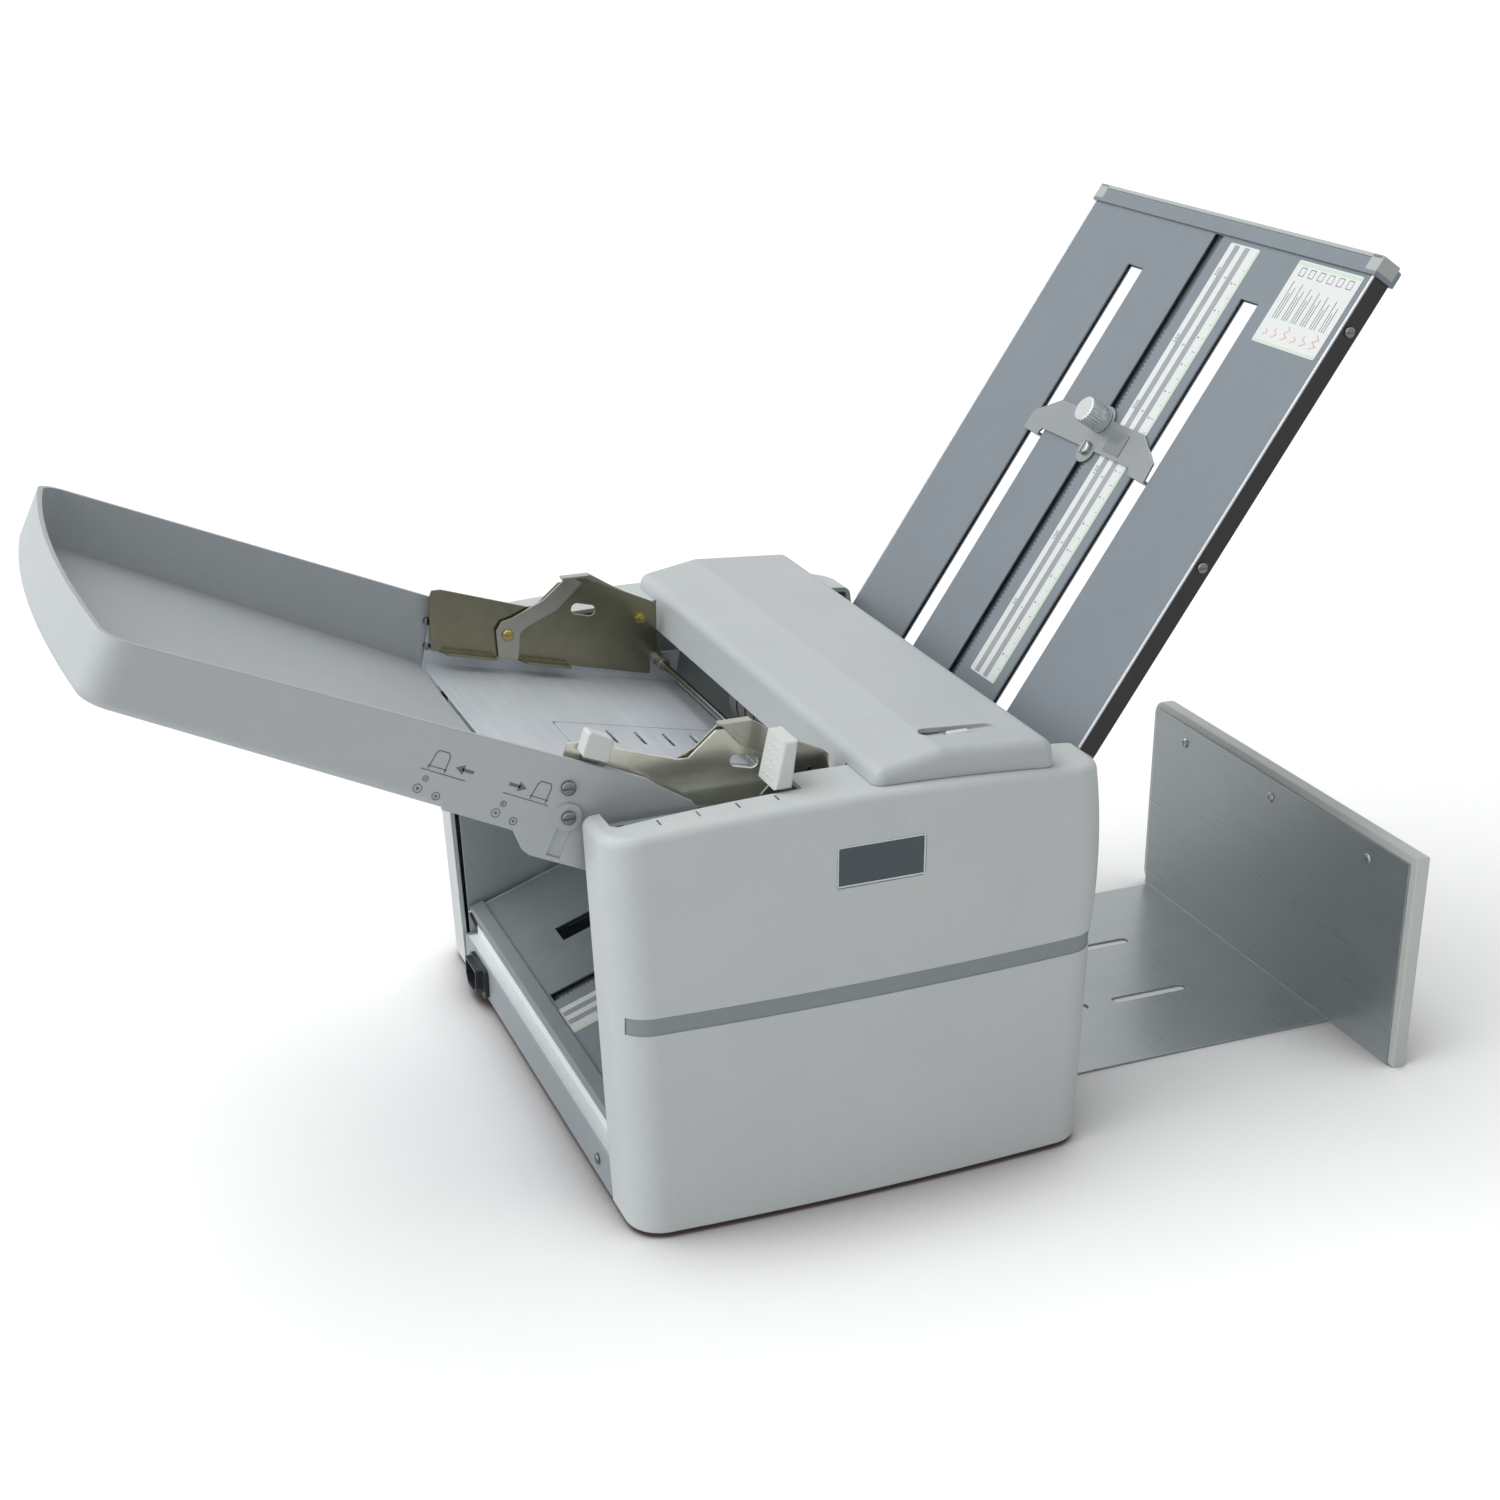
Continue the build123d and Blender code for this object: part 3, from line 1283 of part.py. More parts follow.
# ------------------------------------------------------------------ fold plates
def plate_face_part(plane, half_w, low, high, slot_low, slot_high, rack_low, rack_high, teeth_end, mark, screws):
    """Slotted face sheet with folded sides and a rack cut in the middle slot's near edge.

    low and high are the ends of the sheet along the plane's x, slot_low and slot_high those of
    the through slots, rack_low and rack_high those of the middle slot, its teeth stopping at
    teeth_end; mark is a place along x where the rack has the middle of a gap; screws are places
    along x of holes in both sides.
    """
    pitch = pi * rack_module
    pitch_line = plate_mid_y - pinion_teeth * rack_module / 2
    far_edge = plate_mid_y + pinion_teeth * rack_module / 2 + tooth_tip * rack_module + fit_gap
    near_edge = pitch_line - tooth_root * rack_module
    first = ceil((rack_low + pitch - mark) / pitch - 0.5)
    last = floor((teeth_end - mark) / pitch - 0.5)
    with BuildPart() as face:
        with BuildSketch(plane):
            with Locations(((low + high) / 2, 0)):
                Rectangle(high - low, 2 * half_w)
            for slot_y in (plate_mid_y - plate_slot_y, plate_mid_y + plate_slot_y):
                with Locations(((slot_low + slot_high) / 2, slot_y)):
                    Rectangle(slot_high - slot_low, plate_slot_w, mode=Mode.SUBTRACT)
            with Locations(((rack_low + rack_high) / 2, (near_edge + far_edge) / 2)):
                Rectangle(rack_high - rack_low, far_edge - near_edge, mode=Mode.SUBTRACT)
            for tooth in range(first, last + 1):
                middle = mark + (tooth + 0.5) * pitch
                with BuildLine():
                    Polyline(
                        (middle - pitch * tooth_root_share, near_edge - 0.5),
                        (middle - pitch * tooth_root_share, near_edge),
                        (middle - pitch * tooth_tip_share, pitch_line + tooth_tip * rack_module),
                        (middle + pitch * tooth_tip_share, pitch_line + tooth_tip * rack_module),
                        (middle + pitch * tooth_root_share, near_edge),
                        (middle + pitch * tooth_root_share, near_edge - 0.5),
                        close=True,
                    )
                make_face()
        extrude(amount=-plate_t)
        for side_y in (-half_w + plate_t / 2, half_w - plate_t / 2):
            with BuildSketch(plane.offset(-plate_t / 2)):
                with Locations(((low + high) / 2, side_y)):
                    Rectangle(high - low, plate_t)
            extrude(amount=plate_t / 2 - plate_depth)
        for along in screws:
            side_point = plane.from_local_coords((along, 0, -plate_depth / 2))
            with BuildSketch(elevation(half_w + 1)):
                with Locations((side_point.X, side_point.Z)):
                    Circle(thread_r)
            extrude(amount=2 * half_w + 2, mode=Mode.SUBTRACT)
        fillet(
            [edge for edge in face.edges().filter_by(GeomType.LINE)
             if edge.length > high - low - 1 and abs(abs(edge.center().Y) - half_w) < 0.01
             and plane.to_local_coords(edge.center()).Z > -0.01],
            plate_t,
        )
    return face.part


def plate_back_part(plane, half_w, low, high, slot_low, slot_high, slot_y_extra):
    """Back sheet of a fold plate, a paper gap behind the face and slotted like it."""
    top = -plate_t - plate_gap
    with BuildPart() as back:
        with BuildSketch(plane.offset(top)):
            with Locations(((low + high) / 2, 0)):
                Rectangle(high - low, 2 * (half_w - plate_t))
            for slot_y in (plate_mid_y - plate_slot_y, plate_mid_y + plate_slot_y):
                with Locations(((slot_low + slot_high) / 2, slot_y)):
                    Rectangle(slot_high - slot_low, plate_slot_w + slot_y_extra, mode=Mode.SUBTRACT)
        extrude(amount=-plate_back_t)
        for side_y in (-half_w + plate_t + 0.5, half_w - plate_t - 0.5):
            with BuildSketch(plane.offset(top)):
                with Locations(((low + high) / 2, side_y)):
                    Rectangle(high - low, 1.0)
            extrude(amount=-plate_depth + plate_t + plate_gap + 2)
    return back.part


def stopper_bar_part(plane, stop):
    """Paper stop: a flat bar over the plate with a finger down each through slot."""
    nose = stop + 26.0
    with BuildPart() as bar:
        with BuildSketch(plane.offset(fit_gap)):
            with BuildLine():
                Polyline(
                    (stop, 66), (stop, 84), (stop + 14, 83.5), (stop + 28.5, 58), (stop + 28.5, -49),
                    (stop + 14, -74), (stop, -75.5), (stop, -57), (stop + 5, -53), (stop + 5, 62),
                    close=True,
                )
            make_face()
            with Locations((stop + 4, plate_mid_y)):
                Circle(9)
            with Locations((nose, plate_mid_y)):
                Circle(11)
            with Locations((nose, plate_mid_y), (stop + 5, plate_mid_y)):
                Circle(knob_shaft_r + shaft_clearance, mode=Mode.SUBTRACT)
        extrude(amount=stopper_t)
        for slot_y in (plate_mid_y - plate_slot_y, plate_mid_y + plate_slot_y):
            with BuildSketch(plane.offset(fit_gap + stopper_t)):
                with Locations((stop + 1.0, slot_y)):
                    Rectangle(2.0, 14)
            extrude(amount=-(plate_t + plate_gap + plate_back_t + 2.5 + fit_gap + stopper_t))
    return bar.part


def stopper_knob_part(plane, stop, turn):
    """Knurled knob above the stop with its pinion in the rack of the middle slot."""
    nose = stop + 26.0
    base = fit_gap + stopper_t + fit_gap
    with BuildPart() as knob:
        with BuildSketch(plane.offset(base)):
            with Locations((nose, plate_mid_y)):
                Circle(knob_r)
                with PolarLocations(knob_r + 0.35, 24):
                    Circle(0.8, mode=Mode.SUBTRACT)
        extrude(amount=knob_h)
        with BuildSketch(plane.offset(base)):
            with Locations((nose, plate_mid_y)):
                Circle(knob_shaft_r)
        extrude(amount=-base - plate_t - 0.4)
        with BuildSketch(plane.offset(-plate_t - 0.4)):
            with BuildLine():
                Polyline(*gear_outline(pinion_teeth, rack_module, turn, nose, plate_mid_y), close=True)
            make_face()
        extrude(amount=plate_t + 0.4)
        top_ring = knob.faces().sort_by(lambda face: plane.to_local_coords(face.center()).Z)[-1]
        chamfer(top_ring.edges(), 0.6)
    return knob.part


def stopper_clamp_part(plane, stop):
    """Clamp screw beside the knob, with a square nut under the face sheet."""
    with BuildPart() as clamp:
        add(screw_head(
            Plane(plane.from_local_coords((stop + 5, plate_mid_y, fit_gap + stopper_t)),
                  x_dir=plane.x_dir, z_dir=plane.z_dir),
            5.0, 3.2, knob_shaft_r - 0.1, fit_gap + stopper_t + plate_t + 0.6, 1.2,
        ))
        with BuildSketch(plane.offset(-plate_t - fit_gap)):
            with Locations((stop + 6.5, plate_mid_y)):
                Rectangle(9, 15)
        extrude(amount=-1.8)
    return clamp.part


def plate_cap_part(plane, half_w, end, outward):
    """Moulded edging over a fold plate's outer end, with rounded corners; outward is its sense."""
    with BuildPart() as cap:
        with BuildSketch(plane.offset(cap_rise)):
            with Locations((end + outward * (cap_t - cap_lip) / 2, 0)):
                Rectangle(cap_lip + cap_t, 2 * (half_w + cap_t))
        extrude(amount=-(cap_rise + plate_depth + cap_t))
        fillet(
            [edge for edge in cap.edges()
             if abs(plane.to_local_coords(edge.center()).X - (end + outward * cap_t)) < 0.01],
            cap_t,
        )
        with BuildSketch(plane):
            with Locations((end - outward * cap_lip, 0)):
                Rectangle(2 * cap_lip, 2 * half_w)
        extrude(amount=-plate_depth, mode=Mode.SUBTRACT)
        with BuildSketch(plane.offset(-plate_t - plate_gap)):
            with Locations((end - outward * cap_lip, 0)):
                Rectangle(2 * cap_lip + 1, 2 * (half_w - 12))
        extrude(amount=-plate_depth, mode=Mode.SUBTRACT)
    return cap.part


stopper_t = 1.5
knob_r = 9.0
knob_h = 18.0
knob_shaft_r = 2.4
cap_rise = 1.6
upper_plane = Plane(
    origin=(upper_plate_x, 0, upper_plate_z),
    x_dir=(cos(radians(upper_plate_tilt)), 0, sin(radians(upper_plate_tilt))),
    z_dir=(-sin(radians(upper_plate_tilt)), 0, cos(radians(upper_plate_tilt))),
)
lower_plane = Plane(
    origin=(lower_plate_x, 0, lower_plate_z),
    x_dir=(cos(radians(lower_plate_tilt)), 0, sin(radians(lower_plate_tilt))),
    z_dir=(-sin(radians(lower_plate_tilt)), 0, cos(radians(lower_plate_tilt))),
)
upper_end = upper_plate_reach - cap_t
save(plate_face_part(
    upper_plane, upper_plate_half_w, -upper_plate_tail, upper_end,
    -upper_plate_tail + 10, upper_slot_end, -12.0, upper_rack_end, 260.0, upper_stop_s + 26.0,
    plate_screws,
), "upper_plate_face")
save(plate_back_part(
    upper_plane, upper_plate_half_w, -upper_plate_tail, upper_end,
    -upper_plate_tail + 10, upper_slot_end, 4.0,
), "upper_plate_back")
save(plate_cap_part(upper_plane, upper_plate_half_w, upper_end, 1), "upper_plate_cap")
save(stopper_bar_part(upper_plane, upper_stop_s), "upper_stopper_bar")
save(stopper_knob_part(upper_plane, upper_stop_s, 0.0), "upper_stopper_knob")
save(stopper_clamp_part(upper_plane, upper_stop_s), "upper_stopper_clamp")

lower_end = cap_t
save(plate_face_part(
    lower_plane, lower_plate_half_w, lower_end, lower_plate_reach,
    lower_slot_start, lower_plate_reach - 8, lower_rack_start, lower_plate_reach - 8,
    lower_plate_reach - 12, lower_stop_s + 26.0, (),
), "lower_plate_face")
save(plate_back_part(
    lower_plane, lower_plate_half_w, lower_end, lower_plate_reach,
    lower_slot_start, lower_plate_reach - 8, 4.0,
), "lower_plate_back")
save(plate_cap_part(lower_plane, lower_plate_half_w, lower_end, -1), "lower_plate_cap")
save(stopper_bar_part(lower_plane, lower_stop_s), "lower_stopper_bar")
save(stopper_knob_part(lower_plane, lower_stop_s, 0.0), "lower_stopper_knob")
save(stopper_clamp_part(lower_plane, lower_stop_s), "lower_stopper_clamp")


# ------------------------------------------------------------------ exit panel
exit_x = 163.0
exit_low_z = 118.0
exit_high_z = 168.0
exit_top_z = 196.0
with BuildPart() as exit_panel:
    with BuildSketch(Plane.YZ.offset(exit_x)):
        with Locations((0, pan_top_z)):
            Rectangle(2 * (frame_inner_y - fit_gap), exit_top_z - pan_top_z, align=(Align.CENTER, Align.MIN))
        with Locations((0, (exit_low_z + exit_high_z) / 2)):
            Rectangle(2 * 155, exit_high_z - exit_low_z, mode=Mode.SUBTRACT)
    extrude(amount=1.5)
    for lip_z in (exit_low_z, exit_top_z):
        with BuildSketch(Plane.XY.offset(lip_z - 1.5)):
            with Locations((exit_x, 0)):
                Rectangle(16, 2 * 154, align=(Align.MAX, Align.CENTER))
        extrude(amount=1.5)
save(exit_panel.part, "exit_panel")


# ------------------------------------------------------------------ stacker
with BuildPart() as stacker_tray:
    floor_w = stacker_floor_high_y - stacker_floor_low_y
    floor_mid = (stacker_floor_high_y + stacker_floor_low_y) / 2
    with BuildSketch(Plane.XY):
        with Locations(((stacker_floor_x + stacker_face_x) / 2, floor_mid)):
            Rectangle(stacker_face_x - stacker_floor_x, floor_w)
        with Locations((230, floor_mid - 40), (230, floor_mid + 40), (310, floor_mid - 40), (310, floor_mid + 40)):
            SlotOverall(60, 8, mode=Mode.SUBTRACT)
    extrude(amount=stacker_t)
    face_w = stacker_high_y - stacker_low_y
    face_mid = (stacker_high_y + stacker_low_y) / 2
    with BuildSketch(Plane.YZ.offset(stacker_face_x - stacker_t)):
        with Locations((face_mid, 0)):
            Rectangle(face_w, stacker_height - 3, align=(Align.CENTER, Align.MIN))
        with Locations((70, 135), (-43, 135), (-157, 135)):
            Circle(2.0, mode=Mode.SUBTRACT)
    extrude(amount=stacker_t)
save(stacker_tray.part, "stacker_tray")

with BuildPart() as stacker_panel:
    with BuildSketch(Plane.YZ.offset(stacker_face_x)):
        with Locations((face_mid, 0)):
            Rectangle(face_w + 12, stacker_height + 3, align=(Align.CENTER, Align.MIN))
        fillet(vertices().sort_by(Axis.Z)[-2:], 12)
    extrude(amount=stacker_panel_t)
    fillet(stacker_panel.faces().sort_by(Axis.X)[-1].edges(), 2)
    fillet(stacker_panel.faces().sort_by(Axis.X)[0].edges(), 1)
save(stacker_panel.part, "stacker_panel")

with BuildPart() as stacker_screws:
    for screw_y in (70, -43, -157):
        with BuildSketch(Plane(
            origin=(stacker_face_x - stacker_t, screw_y, 135), x_dir=(0, 1, 0), z_dir=(-1, 0, 0)
        )):
            Circle(4)
        extrude(amount=1.4, taper=35)
        with BuildSketch(Plane(
            origin=(stacker_face_x - stacker_t, screw_y, 135), x_dir=(0, 1, 0), z_dir=(1, 0, 0)
        )):
            Circle(2.0)
        extrude(amount=stacker_t)
        for turn in (0, 90):
            with BuildSketch(Plane(
                origin=(stacker_face_x - stacker_t - 1.4, screw_y, 135), x_dir=(0, 1, 0), z_dir=(1, 0, 0)
            )):
                Rectangle(4.6, 1.0, rotation=turn)
            extrude(amount=0.8, mode=Mode.SUBTRACT)
save(stacker_screws.part, "stacker_screws")


# ------------------------------------------------------------------ operating lever
lever_top_x = -36.8
lever_top_z = 262.0
grip_low_x = -34.0
grip_low_z = 268.3
grip_high_z = 297.0
grip_lean = 0.17         # millimetres along X for each one up
grip_low_w = 11.0
grip_high_w = 8.4
grip_depth = 26.4
tongue_w = 5.4
tongue_high_z = 289.0


def grip_x(z):
    """Middle of the leaning grip at a height."""
    return grip_low_x + grip_lean * (z - grip_low_z)


def lever_outline():
    """Outline of the lever's flat arm, from its pivot up into the grip."""
    Polyline(
        (lever_pivot_x - 6, lever_pivot_z), (lever_top_x - 6, lever_top_z),
        (grip_x(grip_low_z) - tongue_w / 2, grip_low_z), (grip_x(tongue_high_z) - tongue_w / 2, tongue_high_z),
        (grip_x(tongue_high_z) + tongue_w / 2, tongue_high_z), (grip_x(grip_low_z) + tongue_w / 2, grip_low_z),
        (lever_top_x + 6, lever_top_z), (lever_pivot_x + 6, lever_pivot_z), close=True,
    )


with BuildPart() as operating_lever:
    with BuildSketch(elevation(-lever_y + lever_t / 2)):
        with BuildLine():
            lever_outline()
        make_face()
        with Locations((lever_pivot_x, lever_pivot_z)):
            Circle(11)
            Circle(4 + shaft_clearance, mode=Mode.SUBTRACT)
    extrude(amount=lever_t)
save(operating_lever.part, "operating_lever")

with BuildPart() as operating_lever_cap:
    with BuildSketch(elevation(-lever_y + grip_depth / 2)):
        with BuildLine():
            Polyline(
                (grip_x(grip_low_z) - grip_low_w / 2, grip_low_z),
                (grip_x(grip_high_z) - grip_high_w / 2, grip_high_z),
                (grip_x(grip_high_z) + grip_high_w / 2, grip_high_z),
                (grip_x(grip_low_z) + grip_low_w / 2, grip_low_z),
                close=True,
            )
        make_face()
        fillet(vertices().filter_by(lambda corner: corner.Z > tongue_high_z), 2.6)
    extrude(amount=grip_depth)
    fillet(operating_lever_cap.faces().sort_by(Axis.Y)[0].edges(), 1.8)
    fillet(operating_lever_cap.faces().sort_by(Axis.Y)[-1].edges(), 1.8)
    with BuildSketch(elevation(-lever_y + lever_t / 2)):
        with BuildLine():
            lever_outline()
        make_face()
    extrude(amount=lever_t, mode=Mode.SUBTRACT)
save(operating_lever_cap.part, "operating_lever_cap")


# ------------------------------------------------------------------ outer screws
with BuildPart() as panel_screws:
    for screw_y in pan_screw_ys:
        add(screw_head(
            Plane(origin=(pan_left_x, screw_y, pan_screw_z), x_dir=(0, 1, 0), z_dir=(-1, 0, 0)),
            3.6, 2.0, thread_r, pan_t, 1.0,
        ))
    add(screw_head(
        Plane(origin=(notch_screw[0], notch_screw[1], frame_flange_z), x_dir=(1, 0, 0), z_dir=(0, 0, 1)),
        3.8, 2.2, thread_r, frame_t, 1.0,
    ))
    for side_sign in (-1, 1):
        for along in plate_screws:
            point = plate_point(upper_plate_x, upper_plate_z, upper_plate_tilt, along, -plate_depth / 2)
            add(screw_head(
                Plane(origin=(point[0], side_sign * upper_plate_half_w, point[1]),
                      x_dir=(1, 0, 0), z_dir=(0, side_sign, 0)),
                3.6, 2.0, thread_r, plate_t, 1.0,
            ))

with BuildPart() as body_fasteners:
    add(tray_screws.part)
    add(hood_hinge_pins.part)
    add(panel_screws.part)
save(body_fasteners.part, "body_fasteners")
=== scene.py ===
"""Looks of a desk paper folding machine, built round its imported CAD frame.

Blender's metres, in the frame of the CAD: +X from the feed tray towards the upper plate, +Y away
from the operator, +Z up. Sizes in the sub-assemblies are millimetres, which Shape turns into
metres. Sizes in the finishes and the studio are metres.
"""

import logging
import math
from collections.abc import Iterable
from dataclasses import dataclass
from enum import Enum
from typing import ClassVar

import bmesh
import bpy
from mathutils import Matrix, Vector


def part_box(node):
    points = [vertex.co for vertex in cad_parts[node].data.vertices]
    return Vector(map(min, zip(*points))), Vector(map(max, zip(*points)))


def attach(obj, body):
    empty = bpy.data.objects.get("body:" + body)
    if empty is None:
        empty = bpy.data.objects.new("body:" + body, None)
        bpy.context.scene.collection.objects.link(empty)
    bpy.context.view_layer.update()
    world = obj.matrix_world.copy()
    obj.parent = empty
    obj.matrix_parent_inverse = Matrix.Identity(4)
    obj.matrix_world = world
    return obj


MM = 0.001
LOG = logging.getLogger("folding_machine")

Colour = tuple[float, float, float, float]
Point = tuple[float, float]
Triple = tuple[float, float, float]
Block = tuple[Point, Point, Point] | tuple[Point, Point, Point, float]
Node = bpy.types.Node
Socket = bpy.types.NodeSocket
ALONG = (1.0, 0.0, 0.0)
ACROSS = (0.0, 1.0, 0.0)
UPRIGHT = (0.0, 0.0, 1.0)


def srgb(red: int, green: int, blue: int) -> Colour:
    """Turn screen values from 0 to 255 into the linear colour that shaders take.

    Args:
        red: Red screen value.
        green: Green screen value.
        blue: Blue screen value.

    Returns:
        The linear colour with full alpha.
    """
    linear = []
    for value in (red / 255, green / 255, blue / 255):
        linear.append(value / 12.92 if value <= 0.04045 else ((value + 0.055) / 1.055) ** 2.4)
    return (linear[0], linear[1], linear[2], 1.0)


def shade(colour: Colour, factor: float) -> Colour:
    """Lighten or darken a colour.

    Args:
        colour: The linear colour.
        factor: What each channel is multiplied by.

    Returns:
        The new colour, no channel above 1.
    """
    return (
        min(1.0, colour[0] * factor), min(1.0, colour[1] * factor), min(1.0, colour[2] * factor), 1.0,
    )


# ---- shader helpers
class Graph:
    """One shader node tree, filled a node at a time."""

    def __init__(self, tree: bpy.types.NodeTree) -> None:
        """Work on this tree."""
        self.tree = tree

    def add(self, kind: str, inputs: dict | None = None, **settings: object) -> Node:
        """Add a node, set its properties and feed its inputs.

        Args:
            kind: The node's Blender type.
            inputs: Input names or numbers, each with a value or a socket.
            settings: Properties of the node itself.

        Returns:
            The new node.
        """
        node = self.tree.nodes.new(kind)
        for name, value in settings.items():
            setattr(node, name, value)
        for key, value in (inputs or {}).items():
            self.feed(node, key, value)
        return node

    def feed(self, node: Node, key: str | int, value: object) -> None:
        """Give a node's input a value, or link a socket to it.

        Args:
            node: The node.
            key: The input's name or number.
            value: The value or the socket.
        """
        if isinstance(value, Socket):
            self.tree.links.new(value, node.inputs[key])
        else:
            node.inputs[key].default_value = value

    def math(self, operation: str, first: object, second: object = 0.0) -> Socket:
        """Return the result of a Math node on two values or sockets."""
        return self.add("ShaderNodeMath", {0: first, 1: second}, operation=operation).outputs[0]

    def times(self, first: object, second: object) -> Socket:
        """Return the product of two values or sockets."""
        return self.math("MULTIPLY", first, second)

    def vector(self, operation: str, first: object, second: object) -> Node:
        """Return a Vector Math node on two vectors."""
        return self.add("ShaderNodeVectorMath", {0: first, 1: second}, operation=operation)

    def scaled(self, vector: object, factor: object) -> Socket:
        """Return a vector times a number."""
        return self.add("ShaderNodeVectorMath", {0: vector, "Scale": factor}, operation="SCALE").outputs[0]

    def mix(self, factor: object, first: object, second: object) -> Socket:
        """Mix two colours.

        Args:
            factor: Share of the second colour, a value or a socket.
            first: First colour.
            second: Second colour.

        Returns:
            The mixed colour's socket.
        """
        node = self.add("ShaderNodeMix", {0: factor, 6: first, 7: second}, data_type="RGBA")
        return node.outputs[2]

    def span(self, value: object, low: float, high: float) -> Socket:
        """Map a range of values smoothly to 0 to 1.

        Args:
            value: The value or socket to map.
            low: Value that becomes 0.
            high: Value that becomes 1.

        Returns:
            The mapped value's socket.
        """
        node = self.add("ShaderNodeMapRange", {0: value, 1: low, 2: high}, interpolation_type="SMOOTHSTEP")
        return node.outputs[0]

    def noise(self, vector: object, scale: object, detail: float = 2.0) -> Socket:
        """Return a Noise texture's value over a vector."""
        inputs = {"Vector": vector, "Scale": scale, "Detail": detail}
        return self.add("ShaderNodeTexNoise", inputs).outputs[0]

    def bump(self, shader: Node, distance: float, height: object, **base: object) -> None:
        """Let a height bend the shader's normal.

        Args:
            shader: The Principled shader.
            distance: Depth of the relief, in metres.
            height: The height's socket.
            base: The normal that it bends, as Normal, if not the plain one.
        """
        inputs = {"Strength": 1.0, "Distance": distance, "Height": height, **base}
        node = self.add("ShaderNodeBump", inputs)
        self.feed(shader, "Normal", node.outputs[0])

    def effect(self, effect: "Effect", **values: object) -> Node:
        """Place one of the shared effects, its inputs given by name."""
        return self.add("ShaderNodeGroup", values, node_tree=effect.tree())


class Effect(Enum):
    """Effects that several finishes share, each a node group that is built once."""

    TONE = "tone drift"
    GRAIN = "moulded grain"
    EDGE = "rubbed edge"
    BRUSH = "brushed streaks"
    DUST = "settled dust"
    SMEAR = "handling smears"

    def tree(self) -> bpy.types.NodeTree:
        """Find this effect's node group, building it on first use.

        Returns:
            The node group.
        """
        known = bpy.data.node_groups.get(self.value)
        if known is None:
            known = bpy.data.node_groups.new(self.value, "ShaderNodeTree")
            getattr(EffectBuilder(known), self.name.lower())()
        return known


